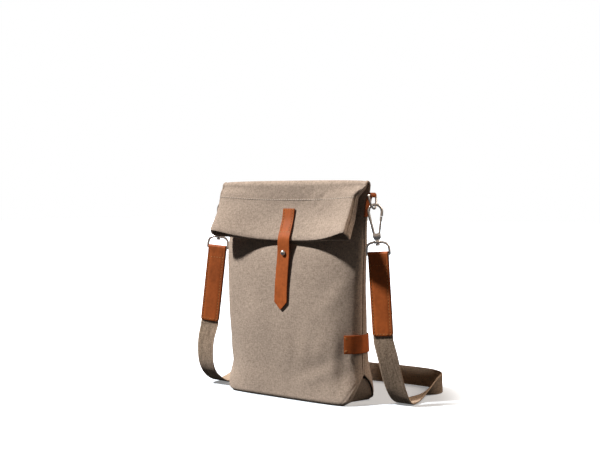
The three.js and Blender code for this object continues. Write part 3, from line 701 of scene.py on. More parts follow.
def table_curve(rows, key, columns):
    """Smooth curves through a table's columns; a row's slope is the mean of those beside it."""
    places = np.array([row[key] for row in rows], float)
    values = np.array([[row[column] for column in columns] for row in rows], float)
    slopes = np.diff(values, axis=0) / np.diff(places)[:, None]
    slopes = np.vstack([slopes[:1], (slopes[:-1] + slopes[1:]) / 2, slopes[-1:]])

    def curve(at):
        at = np.atleast_1d(np.asarray(at, float))
        index = np.clip(np.searchsorted(places, at, side="right") - 1, 0, len(places) - 2)
        span = (places[index + 1] - places[index])[:, None]
        part = (at - places[index])[:, None] / span
        leave, arrive = slopes[index] * span, slopes[index + 1] * span
        return dict(zip(columns, hermite(part, values[index], values[index + 1], leave, arrive).T))

    return curve


def smooth_path(points, steps):
    """A centripetal curve through the points, with that many steps from each to the next."""
    points = np.asarray(points, float)
    padded = np.vstack([2 * points[0] - points[1], points, 2 * points[-1] - points[-2]])
    gaps = np.linalg.norm(np.diff(padded, axis=0), axis=1) ** 0.5
    part = np.linspace(0, 1, steps, endpoint=False)[:, None]
    runs = []
    for index in range(len(points) - 1):
        before, here, there, after = padded[index:index + 4]
        first, middle, last = gaps[index:index + 3]
        middle = middle if middle > SAME_PLACE else 1.0
        first = first if first > SAME_PLACE else middle
        last = last if last > SAME_PLACE else middle
        turn = (there - here) / middle
        leave = (here - before) / first - (there - before) / (first + middle) + turn
        arrive = turn - (after - here) / (middle + last) + (after - there) / last
        runs.append(hermite(part, here, there, leave * middle, arrive * middle))
    return np.vstack([*runs, points[-1:]])


def unit(vectors):
    return vectors / np.linalg.norm(vectors, axis=-1, keepdims=True)


def run_along(points):
    """Distance along a line of points, from its start."""
    steps = np.linalg.norm(np.diff(points, axis=0), axis=1)
    return np.concatenate([[0], np.cumsum(steps)])


# Meshes and pieces

def give_points(mesh, name, kind, part, values):
    """Gives the mesh's points an attribute, where there are values for it."""
    if values is not None:
        attribute = mesh.attributes.new(name, kind, "POINT")
        attribute.data.foreach_set(part, np.asarray(values, float).ravel())


def plain_mesh(name, points, faces, lay=None, press=None):
    """A mesh in metres from points in millimetres, faces turned outwards. Its points hold its lay, and how
    deep a sewn line presses it in."""
    mesh = bpy.data.meshes.new(name)
    mesh.from_pydata((np.asarray(points) * MM).tolist(), [], faces)
    give_points(mesh, "lay", "FLOAT_VECTOR", "vector", lay)
    give_points(mesh, "press", "FLOAT", "value", press)
    shape = bmesh.new()
    shape.from_mesh(mesh)
    bmesh.ops.dissolve_degenerate(shape, dist=1e-7, edges=shape.edges)
    bmesh.ops.recalc_face_normals(shape, faces=shape.faces)
    shape.to_mesh(mesh)
    shape.free()
    return mesh


def joined(name, meshes):
    """One mesh of several."""
    shape = bmesh.new()
    for mesh in meshes:
        shape.from_mesh(mesh)
    mesh = bpy.data.meshes.new(name)
    shape.to_mesh(mesh)
    shape.free()
    return mesh


def add_object(name, mesh):
    piece = bpy.data.objects.new(name, mesh)
    bpy.context.scene.collection.objects.link(piece)
    return piece


def finished(piece):
    """The piece's mesh with its modifiers applied, as plain mesh data."""
    graph = bpy.context.evaluated_depsgraph_get()
    return bpy.data.meshes.new_from_object(piece.evaluated_get(graph), depsgraph=graph)


def add_piece(name, mesh, finish, node=None, body="bag"):
    """A finished piece, riding on its body. Where it stands for a node, that node's part is hidden."""
    mesh.name = name
    mesh.materials.clear()
    mesh.materials.append(material_for(finish))
    mesh.polygons.foreach_set("use_smooth", [True] * len(mesh.polygons))
    piece = add_object(name, mesh)
    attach(piece, body)
    if node:
        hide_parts(node)
    return piece


def placed(points, frame_matrix):
    """Points of a local frame in the bag's own."""
    matrix = np.array(frame_matrix)
    return np.asarray(points) @ matrix[:3, :3].T + matrix[:3, 3]


def hanging_frame(collar, angles):
    """The frame of hardware that hangs from a collar, in millimetres."""
    turn, lean, pitch = (math.radians(angle) for angle in angles)
    return Matrix.Translation(collar) @ Euler((pitch, lean, turn), "XYZ").to_matrix().to_4x4()


def closed_sheet(face, back, bulges, lay):
    """A sheet between two grids of points, with a rounded rim. bulges gives how far each edge's rim stands
    out: first row, last column, last row, first column."""
    rows, columns = face.shape[:2]
    rim_steps = 3
    points = [face.reshape(-1, 3), back.reshape(-1, 3)]
    lays = [lay.reshape(-1, 3), lay.reshape(-1, 3)]
    order = np.arange(rows * columns).reshape(rows, columns)
    faces = []
    for near, far in ((order, False), (order + rows * columns, True)):
        quads = np.stack([near[:-1, :-1], near[:-1, 1:], near[1:, 1:], near[1:, :-1]], -1).reshape(-1, 4)
        faces += (quads[:, ::-1] if far else quads).tolist()
    sides = (
        (order[0, :-1], order[1, :-1], bulges[0]),
        (order[:-1, -1], order[:-1, -2], bulges[1]),
        (order[-1, :0:-1], order[-2, :0:-1], bulges[2]),
        (order[:0:-1, 0], order[:0:-1, 1], bulges[3]),
    )
    rim = np.concatenate([side[0] for side in sides])
    inside = np.concatenate([side[1] for side in sides])
    reach = np.concatenate([np.full(len(side[0]), side[2], float) for side in sides])
    outer, inner = points[0][rim], points[1][rim]
    outward = unit(outer - points[0][inside])
    loops = [rim]
    for step in range(1, rim_steps + 1):
        angle = math.pi * step / (rim_steps + 1)
        ring = (outer + inner) / 2 + (outer - inner) / 2 * math.cos(angle)
        ring = ring + outward * (reach * math.sin(angle))[:, None]
        loops.append(sum(len(block) for block in points) + np.arange(len(rim)))
        points.append(ring)
        lays.append(lays[0][rim])
    loops.append(rim + rows * columns)
    for first, second in zip(loops, loops[1:]):
        quads = np.stack([np.roll(first, -1), first, second, np.roll(second, -1)], -1)
        faces += quads.tolist()
    return np.vstack(points), faces, np.vstack(lays)


# Strips: leather and webbing with rounded edges

def edge_drop(inset, corner):
    """How far a face lies below its flat at some distance in from its rounded edge."""
    return corner - np.sqrt(np.maximum(0, corner ** 2 - np.maximum(0, corner - inset) ** 2))


def at_stops(stops, run, values):
    return np.stack([np.interp(stops, run, column) for column in np.asarray(values, float).T], -1)


def strip(middles, widths, halves, thickness, grooves=0.0, corner=LEATHER_CORNER):
    """Points, faces, lay and press of a strip whose stations hold a middle, the line across it and half of
    its width. grooves is how deep the sewn line beside each edge is pressed in at each station."""
    run = run_along(np.asarray(middles))
    halves = np.broadcast_to(np.asarray(halves, float), len(run))
    grooves = np.broadcast_to(np.asarray(grooves, float), len(run))
    # The ends are rounded over by extra stations close to them.
    extra = corner * STRIP_INSETS[1:3]
    stops = np.unique(np.concatenate([run, extra, run[-1] - extra]))
    middles, widths = at_stops(stops, run, middles), at_stops(stops, run, widths)
    halves, grooves = np.interp(stops, run, halves), np.interp(stops, run, grooves)
    along = unit(np.gradient(middles, stops, axis=0))
    across = widths - along * (widths * along).sum(1)[:, None]
    slant = np.linalg.norm(across, axis=1)[:, None]
    facing = unit(np.cross(along, across))
    beside = np.maximum(halves[:, None] - corner * STRIP_INSETS, 0)
    reach = np.hstack([beside, beside[:, -1:] * STRIP_MIDDLE])
    from_end = np.minimum(stops, stops[-1] - stops)[:, None]
    drop = np.maximum(edge_drop(halves[:, None] - reach, corner), edge_drop(from_end, corner))
    pressed = STRIP_PRESS * grooves[:, None]
    top = thickness / 2 - drop - pressed
    under = drop[:, :3] - thickness / 2
    place = np.hstack([-reach, reach[:, ::-1], reach[:, :3], -reach[:, 2::-1]])
    lift = np.hstack([top, top[:, ::-1], under, under[:, ::-1]])
    flat = np.zeros((len(stops), 2 * under.shape[1]))
    press = np.hstack([pressed, pressed[:, ::-1], flat]) / max(grooves.max(), NO_GROOVE)
    skin = middles[:, None] + place[..., None] * (widths / slant)[:, None] + lift[..., None] * facing[:, None]
    edge = np.minimum(halves[:, None] - np.abs(place), from_end)
    lay = np.stack([place + halves[:, None], np.broadcast_to(stops[:, None], place.shape), edge], -1)
    order = np.arange(place.size).reshape(place.shape)
    next_to = np.roll(order, -1, axis=1)
    quads = np.stack([order[:-1], next_to[:-1], next_to[1:], order[1:]], -1).reshape(-1, 4).tolist()
    caps = [order[0].tolist(), order[-1, ::-1].tolist()]
    return skin.reshape(-1, 3), quads + caps, lay.reshape(-1, 3), press.ravel()


# Canvas tube

def half_outline(half_width, middle, ends, right_square, left_square):
    """Half of a section's outline from the right seam to the left one: x, depth, share and length."""
    angle = np.linspace(0, math.pi, OUTLINE_SAMPLES + 1)
    cosine, sine = np.cos(angle), np.abs(np.sin(angle))
    square = np.where(cosine > 0, right_square, left_square)
    x = half_width * np.sign(cosine) * np.abs(cosine) ** (2 / square)
    depth = (middle + (ends - middle) * np.abs(x / half_width) ** GAPE_POWER) * sine ** (2 / square)
    dx, dd = np.diff(x), np.diff(depth)
    lengths = np.hypot(dx, dd)
    headings = np.concatenate([[math.pi / 2], np.arctan2(dd, dx)])
    turns = np.abs((np.diff(headings) + math.pi) % (2 * math.pi) - math.pi)
    measure = np.concatenate([[0], np.cumsum(lengths + TURN_WEIGHT * turns)])
    return x, depth, measure / measure[-1], np.concatenate([[0], np.cumsum(lengths)])


BODY_CURVE = table_curve(BODY_LEVELS, "z", BODY_COLUMNS)
# What each section of the tube holds besides its two panels
SECTION = ("y", "z", "half_width", "left", "flare", "spread", "lift", "cut", "roll")


def stations(given):
    """Sections of a stretch of the tube, with 0 for what it isn't given."""
    return {key: 0 * given["z"] for key in SECTION} | given


def corner_cut(heights):
    """Share of a panel's outline that is cut away at each side, at some heights."""
    left = np.maximum(0, 1 - np.asarray(heights) / APEX_HEIGHT)
    return CORNER_SHARE * left ** CORNER_POWER


def body_stations(heights):
    found = BODY_CURVE(heights)
    heights = np.asarray(heights, float)
    tuck = np.clip(1 - heights / ROLL_RADIUS, 0, 1)
    return stations(dict(
        y=found["seam_y"], z=heights, half_width=found["half_width"], left=found["left"],
        cut=corner_cut(heights), roll=ROLL_RADIUS * (1 - np.sqrt(1 - tuck ** 2)),
        across=np.tile([1.0, 0.0], (len(heights), 1)),
        front=(found["front"], found["front"], found["front_square"], found["left_square"]),
        back=(found["back"], found["back"], found["back_square"], found["back_square"]),
    ))


def crown_stations(angles):
    same = np.ones(len(angles))
    wall = [CROWN[part] * same for part in ("depth", "depth", "square", "square")]
    return stations(dict(
        y=CROWN["y"] + CROWN["radius"] * np.cos(angles), z=CROWN["z"] + CROWN["radius"] * np.sin(angles),
        half_width=CROWN["half_width"] * same, front=wall, back=wall,
    ))


def flap_stations(steps):
    places = np.array([(row["y"], row["z"]) for row in FLAP_LEVELS], float)
    rows = [dict(row, run=run) for row, run in zip(FLAP_LEVELS, run_along(places))]
    found = table_curve(rows, "run", FLAP_COLUMNS)(np.linspace(0, rows[-1]["run"], steps + 1)[1:])
    walls = {
        panel: [found["middle"], found["ends"], found["square"] * squarer, found["square"]]
        for panel, squarer in END_SQUARE.items()
    }
    drop = CROWN["z"] - found["z"]
    return stations(dict(
        y=found["y"], z=found["z"], half_width=found["half_width"], flare=np.minimum(1, drop / FLARE_RAMP),
        spread=np.interp(drop, RIGHT_DROP, RIGHT_SHIFT), lift=RIGHT_LIFT * drop / drop[-1], **walls,
    ))


def tube_stations():
    """Sections of the canvas tube from the floor over the crown to the flap's mouth."""
    rolled = ROLL_RADIUS * (1 - np.cos(np.linspace(0, math.pi / 2, TUBE_STEPS["roll"])))
    low = np.arange(ROLL_RADIUS + 1, LOW_TOP, 1.0)
    high = np.linspace(LOW_TOP, BODY_LEVELS[-1]["z"], TUBE_STEPS["body"])
    turn = np.linspace(0, math.pi, TUBE_STEPS["crown"])
    body = body_stations(np.concatenate([rolled, low, high]))
    runs = [body, crown_stations(turn), flap_stations(TUBE_STEPS["flap"])]
    tube = {key: np.concatenate([run[key] for run in runs]) for key in SECTION}
    for panel in ("front", "back"):
        tube[panel] = [np.concatenate(parts) for parts in zip(*(run[panel] for run in runs))]
    spine = np.stack([tube["y"], tube["z"]], -1)
    tube["run"] = run_along(spine)
    heading = unit(np.gradient(spine, axis=0))
    tube["across"] = np.stack([heading[:, 1], -heading[:, 0]], -1)
    return tube


def place_on_tube(tube, index, panel, x, depth):
    """Points of one section, by x and depth from the seam, swung out with the flap's ends."""
    across = -depth if panel == "front" else depth
    y = tube["y"][index] + tube["across"][index, 0] * across - CROWN["y"]
    z = tube["z"][index] + tube["across"][index, 1] * across - CROWN["z"]
    share = np.minimum(1, np.abs(x) / tube["half_width"][index])
    out = share ** FLARE_POWER
    reach = np.where(x > 0, FLARE["right"], FLARE["left"])
    angle = reach * tube["flare"][index] * out ** 2 * (3 - 2 * out)
    right = np.where(x > 0, share, 0)
    swung_lift = tube["lift"][index] * right ** LIFT_POWER
    swung_y = y * np.cos(angle) + z * np.sin(angle)
    swung_z = z * np.cos(angle) - y * np.sin(angle)
    x = x + tube["spread"][index] * right - tube["left"][index] * (share - right)
    return np.stack([x, CROWN["y"] + swung_y, CROWN["z"] + swung_z + swung_lift], -1)


def panel_columns():
    """Shares across a panel, closer together beside the seams."""
    near = np.linspace(0, NEAR_SEAM, COLUMNS["near"], endpoint=False)
    beside = np.linspace(NEAR_SEAM, BESIDE_SEAM, COLUMNS["beside"], endpoint=False)
    middle = np.linspace(BESIDE_SEAM, 1 - BESIDE_SEAM, COLUMNS["middle"])
    right = np.concatenate([near, beside])
    return np.concatenate([right, middle, 1 - right[::-1]])


def section_outline(tube, panel, index, inset):
    """A panel's outline at one section, drawn in by an inset: x, depth, share and length."""
    middle, ends, *squares = (values[index] for values in tube[panel])
    return half_outline(tube["half_width"][index] - inset, middle - inset, ends - inset, *squares)


def panel_grid(tube, panel, inset):
    """A panel's face by station and column, with the run across the cloth from its middle."""
    shares = panel_columns()
    points, run = [], []
    for index in range(len(tube["z"])):
        x, depth, share, length = section_outline(tube, panel, index, inset + tube["roll"][index])
        at = tube["cut"][index] + (1 - 2 * tube["cut"][index]) * shares
        depth = np.maximum(np.interp(at, share, depth), GAP / 2)
        points.append(place_on_tube(tube, index, panel, np.interp(at, share, x), depth))
        run.append(np.interp(at, share, length) - length[-1] / 2)
    return np.array(points), np.array(run)


def grid_normals(grid):
    along = np.gradient(grid, axis=0)
    across = np.gradient(grid, axis=1)
    return unit(np.cross(across, along))


def fold_relief(folds, x, z):
    relief = np.zeros_like(x)
    for fold in folds:
        slope = math.radians(fold["slope"])
        dx, dz = x - fold["x"], z - fold["z"]
        along = dx * math.cos(slope) + dz * math.sin(slope)
        off = dz * math.cos(slope) - dx * math.sin(slope)
        valley = (off - VALLEY["at"] * fold["width"]) / fold["width"]
        ridge = np.exp(-((off / fold["width"]) ** 2)) - VALLEY["depth"] * np.exp(-(valley ** 2))
        relief += fold["height"] * ridge * np.exp(-((along / fold["length"]) ** 2))
    return relief


def seam_relief(from_edge, strength):
    """A rolled band beside an edge, and the ditch where it is sewn."""
    inside = np.clip(1 - (2 * from_edge / SEAM_BEAD["width"] - 1) ** 2, 0, None)
    ditch = np.exp(-(((from_edge - SEAM_BEAD["ditch_at"]) / SEAM_BEAD["ditch_width"]) ** 2))
    return strength * (SEAM_BEAD["height"] * np.sqrt(inside) - SEAM_BEAD["ditch"] * ditch)


def slack_relief(grid, height, spread):
    found = [noise.noise(Vector(point) / spread) for point in grid.reshape(-1, 3)]
    return height * np.array(found).reshape(grid.shape[:2])


def outward_normals(tube, panel):
    """A panel's outer and inner faces, the run across it, and its normals away from the inside of the bag."""
    outer, across = panel_grid(tube, panel, 0)
    inner, _ = panel_grid(tube, panel, bag_settings().canvas.thickness / MM)
    normals = grid_normals(outer)
    normals = normals * np.sign((normals * (outer - inner)).sum(-1, keepdims=True))
    return outer, inner, across, normals


def canvas_panel(tube, panel):
    """Points, faces and lay of the front or back panel, with its folds and seams, and its flat size."""
    outer, inner, across, normals = outward_normals(tube, panel)
    run = np.broadcast_to(tube["run"][:, None], across.shape)
    edge = np.minimum(across - across[:, :1], across[:, -1:] - across)
    # Below the apex the edge runs slantwise, so that the way straight to it is shorter.
    left = np.maximum(0, 1 - tube["z"] / APEX_HEIGHT) * (tube["cut"] > 0)
    slant = CORNER_SHARE * np.ptp(across, axis=1) * CORNER_POWER / APEX_HEIGHT * left ** (CORNER_POWER - 1)
    edge = edge / np.sqrt(1 + slant ** 2)[:, None]
    from_hem = run[-1, 0] - run
    on_body = np.clip((CROWN["z"] - CALM["below_crown"] - run) / CALM["crown_fade"], 0, 1)
    calm = np.clip(edge / CALM["edge"], 0, 1) * np.clip(run / CALM["edge"], 0, 1)
    folds = FRONT_FOLDS if panel == "front" else BACK_FOLDS
    relief = fold_relief(folds, outer[..., 0], outer[..., 2]) * on_body
    if panel == "back":
        on_flap = np.clip((CALM["flap"] - from_hem) / CALM["flap_fade"], 0, 1)
        on_flap = on_flap * np.clip(from_hem / CALM["hem_fade"], 0, 1)
        relief += fold_relief(FLAP_FOLDS, outer[..., 0], from_hem) * on_flap
    relief += slack_relief(outer, SLACK["height"], SLACK["spread"]) * on_body
    relief *= calm * bag_settings().canvas.fold
    inner = inner + normals * relief[..., None]
    if panel == "back":
        relief = relief - HEM["ditch"] * np.exp(-((from_hem - HEM["height"]) ** 2))
        relief = relief - HEM["roll_depth"] * np.clip(1 - from_hem / HEM["roll"], 0, 1) ** 2
    relief = relief + seam_relief(edge, np.interp(run, SEAM_RUN, SEAM_STRENGTH))
    rolled = BASE_ROLL["depth"] * np.clip(1 - edge / BASE_ROLL["width"], 0, 1) ** 2
    relief = relief - rolled * np.clip(BASE_ROLL["reach"] - run / APEX_HEIGHT, 0, 1)
    face = outer + normals * relief[..., None]
    lay = np.stack([across, run, edge], -1)
    flat = (np.ptp(across, axis=1).max() * MM, run[-1, 0] * MM)
    return (*closed_sheet(face, inner, PANEL_RIM, lay), flat)


class BAG_OT_canvas(bpy.types.Operator):
    """Makes the front and back panels, from the base over the fold to the flap's mouth"""

    bl_idname = "bag.canvas"
    bl_label = "Canvas panels"

    def execute(self, context):
        tube = tube_stations()
        for panel in ("front", "back"):
            points, faces, lay, flat = canvas_panel(tube, panel)
            name = f"{panel}_canvas"
            piece = add_piece(name, plain_mesh(name, points, faces, lay), "canvas", node=f"{panel}_panel")
        return {"FINISHED"}


def gusset_edge(heights, panel, shares):
    """Points of the base's edge at some heights, at some shares of the way along a panel's outline."""
    tube = body_stations(heights)
    found = []
    for index, share in enumerate(shares):
        x, depth, outline_share, _ = section_outline(tube, panel, index, GUSSET_INSET)
        at_x, at_depth = np.interp(share, outline_share, x), np.interp(share, outline_share, depth)
        found.append(place_on_tube(tube, index, panel, np.array([at_x]), np.array([at_depth]))[0])
    return np.array(found)


class BAG_OT_gusset(bpy.types.Operator):
    """Makes the base, its two ends folded in and up between the panels"""

    bl_idname = "bag.gusset"
    bl_label = "Base"

    def execute(self, context):
        thickness = bag_settings().canvas.thickness / MM
        crease = np.array([CREASE_HALF_LENGTH, 0, 0])
        apex = gusset_edge([APEX_HEIGHT], "front", [0])[0]
        apex[2] = GUSSET_TOP
        rise = np.linspace(0, 1, GUSSET_STEPS["rise"])
        heights = GUSSET_TOP * rise
        shares = corner_cut(heights)
        tent = {panel: gusset_edge(heights, panel, shares) for panel in ("front", "back")}
        tent["middle"] = crease + (apex - crease) * rise[:, None]
        steps = GUSSET_STEPS["floor"]
        flat_shares = np.linspace(1 - CORNER_SHARE, CORNER_SHARE, steps + 1)[1:-1]
        floor = {panel: gusset_edge(0 * flat_shares, panel, flat_shares) for panel in ("front", "back")}
        step = (np.arange(1, steps) / steps)[:, None]
        floor["middle"] = crease * (2 * step - 1)
        mirror = np.array([-1, 1, 1])
        rows = {key: np.vstack([tent[key][::-1] * mirror, floor[key], tent[key]]) for key in tent}
        reach = np.linspace(-1, 1, GUSSET_STEPS["across"])
        # A soft crease: the fold's sharp corner is rounded over a short way.
        share = np.sqrt(reach ** 2 + CREASE_ROUND ** 2) - CREASE_ROUND
        share = share / (math.sqrt(1 + CREASE_ROUND ** 2) - CREASE_ROUND)
        edges = np.where((reach < 0)[None, :, None], rows["front"][:, None], rows["back"][:, None])
        grid = rows["middle"][:, None] + (edges - rows["middle"][:, None]) * share[None, :, None]
        normals = grid_normals(grid)
        normals = normals * np.where(normals[..., 2:] < 0, -1, 1)
        lay = np.stack([
            np.broadcast_to(reach * GUSSET_HALF_DEPTH, grid.shape[:2]),
            np.broadcast_to(run_along(rows["middle"])[:, None], grid.shape[:2]),
            np.broadcast_to(GUSSET_HALF_DEPTH * (1 - np.abs(reach)), grid.shape[:2]),
        ], -1)
        points, faces, lay = closed_sheet(grid, grid + normals * thickness, (0, 0, 0, 0), lay)
        mesh = plain_mesh("base_canvas", points, faces, lay)
        piece = add_piece("base_canvas", mesh, "canvas", node="base_gusset")
        return {"FINISHED"}


# Leather trims

def leather_thickness():
    return bag_settings().leather.thickness / MM


def smooth_closure():
    """Stations of the closure strap down the front, with a short bend where it leaves the flap."""
    rows = np.array([(row["x"], row["y"], row["z"]) for row in CLOSURE_PATH], float)
    halves = np.array([row["half"] for row in CLOSURE_PATH], float)
    straight = smooth_path(rows[:-1], CLOSURE_STEPS["strap"])
    sides = np.interp(-straight[:, 2], -rows[:-1, 2], halves[:-1])
    tip = np.linspace(rows[-2], rows[-1], CLOSURE_STEPS["tip"])[1:]
    tip_sides = np.linspace(halves[-2], halves[-1], CLOSURE_STEPS["tip"])[1:]
    return np.vstack([straight, tip]), np.concatenate([sides, tip_sides])


class BAG_OT_closure(bpy.types.Operator):
    """Makes the leather closure strap and its stud"""

    bl_idname = "bag.closure"
    bl_label = "Closure"

    def execute(self, context):
        middles, halves = smooth_closure()
        widths = np.tile([1.0, 0, 0], (len(middles), 1))
        sewn = np.where(middles[:, 2] > CLOSURE_SEWN, GROOVE, 0.0)
        mesh = plain_mesh("closure_leather", *strip(middles, widths, halves, leather_thickness(), sewn))
        add_piece("closure_leather", mesh, "leather", node="closure_strap")
        place = Matrix.Translation((STUD["x"], STUD["foot"], STUD["z"])) @ TO_FRONT
        mesh = lathe("closure_rivet", stud_profile(), TURNED_SIDES["stud"], place)
        add_piece("closure_rivet", mesh, "metal", node="closure_stud")
        return {"FINISHED"}


def stud_profile():
    """Radius and height of the stud, from its foot on the panel to the top of its dome."""
    plate, neck, head = STUD["plate_radius"], STUD["neck_radius"], STUD["head_radius"]
    floor, ease, lip = STUD["plate"], STUD["ease"], STUD["lip"]
    top = floor + STUD["neck"]
    profile = [
        (0, 0), (plate, 0), (plate, floor - ease), (plate - ease, floor), (neck, floor),
        (neck, top - 2 * lip), (head - ease, top - lip),
    ]
    for angle in np.linspace(STUD["dome_from"], math.pi / 2, STUD["dome_steps"]):
        profile.append((head * math.cos(angle), top + STUD["dome"] * math.sin(angle)))
    return profile


def lathe(name, profile, sides, frame_matrix):
    """A turned solid: radius and height pairs about the local z, placed by a frame in millimetres."""
    angles = np.linspace(0, 2 * math.pi, sides, endpoint=False)
    points = []
    for radius, height in profile:
        radius = max(radius, AXIS_RADIUS)
        ring = [radius * np.cos(angles), radius * np.sin(angles), np.full(sides, height)]
        points.append(np.stack(ring, -1))
    order = np.arange(len(profile) * sides).reshape(len(profile), sides)
    beside = np.roll(order, -1, axis=1)
    faces = np.stack([order[:-1], beside[:-1], beside[1:], order[1:]], -1).reshape(-1, 4).tolist()
    faces += [order[0, ::-1].tolist(), order[-1].tolist()]
    return plain_mesh(name, placed(np.vstack(points), frame_matrix), faces)


def label_stations():
    """Middles, lines across and half widths of the label, from its end on the front round to the back."""
    off = LABEL["stand_off"] + leather_thickness() / 2
    tube = body_stations([LABEL["bottom"], LABEL["top"]])
    shares = LABEL["share"] * np.linspace(0, 1, LABEL["steps"])
    ends = []
    for index in range(len(tube["z"])):
        sides = []
        for panel in ("front", "back"):
            x, depth, share, _ = section_outline(tube, panel, index, -off)
            at_x, at_depth = np.interp(shares, share, x), np.interp(shares, share, depth)
            sides.append(place_on_tube(tube, index, panel, at_x, at_depth))
        ends.append(np.vstack([sides[0][::-1], sides[1][1:]]))
    low, high = ends
    return (low + high) / 2, unit(high - low), np.linalg.norm(high - low, axis=1) / 2


class BAG_OT_label(bpy.types.Operator):
    """Makes the bare leather label folded round the right side seam"""

    bl_idname = "bag.label"
    bl_label = "Side label"

    def execute(self, context):
        mesh = plain_mesh("label_leather", *strip(*label_stations(), leather_thickness()))
        add_piece("label_leather", mesh, "leather", node="side_label")
        return {"FINISHED"}


def tab_frame(side):
    """The frame of a side's tab: the D-ring's bar runs along its y, and x points away from the bag."""
    turn = Matrix.Rotation(0 if side["sign"] > 0 else math.pi, 4, "Z")
    return Matrix.Translation((side["sign"] * TAB["bar_x"], TAB["y"], TAB["bar_z"])) @ turn


def arc(radius, start, end, steps, centre=(0, 0)):
    angles = np.radians(np.linspace(start, end, steps))
    return np.stack([centre[0] + radius * np.cos(angles), centre[1] + radius * np.sin(angles)], -1)


class BAG_OT_tabs(bpy.types.Operator):
    """Makes the leather tabs on the side seams, rolled over the D-rings"""

    bl_idname = "bag.tabs"
    bl_label = "Side tabs"

    def execute(self, context):
        thickness = leather_thickness()
        seam = BODY_CURVE([TAB["bottom"], TAB["top"]])["half_width"]
        foot, neck = seam + TAB["stand_off"] + thickness / 2 - TAB["bar_x"]
        radius = D_RING["wire"] + GAP + thickness / 2
        rise = np.linspace(0, 1, TAB["steps"])[:, None]
        low, high = TAB["bottom"] - TAB["bar_z"], TAB["top"] - TAB["bar_z"]
        strap = np.array([foot, low]) + np.array([neck - foot, high - low]) * rise
        path = np.vstack([strap, arc(radius, *TAB["roll"], TAB["roll_steps"])])
        middles = np.stack([path[:, 0], np.zeros(len(path)), path[:, 1]], -1)
        for side in SIDES:
            matrix = tab_frame(side)
            across = np.tile(np.array(matrix)[:3, 1], (len(path), 1))
            name = f"{side['name']}_tab_leather"
            mesh = plain_mesh(name, *strip(placed(middles, matrix), across, TAB["width"] / 2, thickness))
            add_piece(name, mesh, "leather", node=f"{side['name']}_side_tab")
        return {"FINISHED"}


def end_path():
    """Depth and height of the leather end: up the back leaf, over the bar and down the front one."""
    thickness = leather_thickness()
    leaf = bag_settings().webbing.thickness / MM / 2 + GAP + thickness / 2
    loop = STRAP_RING["wire"] + GAP + thickness / 2
    neck = STRAP_RING["bar_z"] - STRAP_END["neck"]
    heights = np.linspace(STRAP_END["bottom"], neck, STRAP_END["leaf_steps"])
    depths = np.full(len(heights), leaf)
    back = np.stack([depths, heights], -1)
    over = arc(loop, 0, 180, STRAP_END["loop_steps"], (0, STRAP_RING["bar_z"]))
    front = np.stack([-depths, heights[::-1]], -1)
    return np.vstack([back, over, front])


class BAG_OT_strap_ends(bpy.types.Operator):
    """Makes the leather ends of the shoulder strap, folded over the strap rings"""

    bl_idname = "bag.strap_ends"
    bl_label = "Strap ends"

    def execute(self, context):
        path = end_path()
        middles = np.stack([np.zeros(len(path)), path[:, 0], path[:, 1]], -1)
        from_bottom = path[:, 1] - STRAP_END["bottom"]
        halves = STRAP_END["width"] / 2 - edge_drop(from_bottom, STRAP_END["corner"])
        sewn = np.where(path[:, 1] < STRAP_RING["bar_z"] - STRAP_END["grooved"], GROOVE, 0.0)
        for side in SIDES:
            matrix = hanging_frame(side["collar"], side["ring"])
            across = np.tile(np.array(matrix)[:3, 0], (len(path), 1))
            name = f"{side['name']}_end_leather"
            leather = strip(placed(middles, matrix), across, halves, leather_thickness(), sewn)
            mesh = plain_mesh(name, *leather)
            add_piece(name, mesh, "leather", node=f"{side['name']}_strap_end")
        return {"FINISHED"}


class BAG_OT_webbing(bpy.types.Operator):
    """Makes the webbing strap, from one leather end round behind the bag to the other"""

    bl_idname = "bag.webbing"
    bl_label = "Shoulder strap"

    def execute(self, context):
        thickness = bag_settings().webbing.thickness / MM
        half = STRAP_WIDTH / 2
        middles, widths = [], []
        overlap = STRAP_END["overlap"]
        heights = [overlap, overlap / 2, -STRAP_END["exit"], -STRAP_END["lead"]]

        def in_leather(side, flip):
            matrix = hanging_frame(side["collar"], side["ring"])
            places = placed([(0, 0, STRAP_END["bottom"] + height) for height in heights], matrix)
            return list(places), [flip * np.array(matrix)[:3, 0]] * len(heights)

        first, first_widths = in_leather(SIDES[0], 1)
        last, last_widths = in_leather(SIDES[1], -1)
        for x, y, lift, turn, tilt in STRAP_ROUTE:
            turn, tilt = math.radians(turn), math.radians(tilt)
            level = math.cos(tilt)
            width = np.array([level * math.cos(turn), level * math.sin(turn), math.sin(tilt)])
            middles.append(np.array([x, y, lift + half * abs(width[2]) + thickness / 2 * level]))
            widths.append(width)
        middles = smooth_path([*first, *middles, *last[::-1]], STRAP_STEPS)
        widths = smooth_path([*first_widths, *widths, *last_widths], STRAP_STEPS)
        mesh = plain_mesh("shoulder_webbing", *strip(middles, widths, half, thickness, 0.0, STRAP_CORNER))
        piece = add_piece("shoulder_webbing", mesh, "webbing", node="strap_webbing")
        return {"FINISHED"}


# Metal fittings

def geometry_tree(name, sizes):
    """A geometry tree with named inputs for its sizes: it, its book, its inputs and their identifiers."""
    tree = bpy.data.node_groups.new(name, "GeometryNodeTree")
    tree.interface.new_socket("Geometry", in_out="INPUT", socket_type="NodeSocketGeometry")
    tree.interface.new_socket("Geometry", in_out="OUTPUT", socket_type="NodeSocketGeometry")
    names = {}
    for size, kind in sizes.items():
        names[size] = tree.interface.new_socket(size, in_out="INPUT", socket_type=kind).identifier
    book = Book(tree)
    return tree, book, book.node("NodeGroupInput").outputs, names


def end_tree(book, geometry, material):
    whole = book.node("GeometryNodeRealizeInstances", None, {"Geometry": geometry}).outputs["Geometry"]
    dressed = book.node("GeometryNodeSetMaterial", None, {"Geometry": whole, "Material": material})
    book.node("NodeGroupOutput", None, {"Geometry": dressed.outputs["Geometry"]})


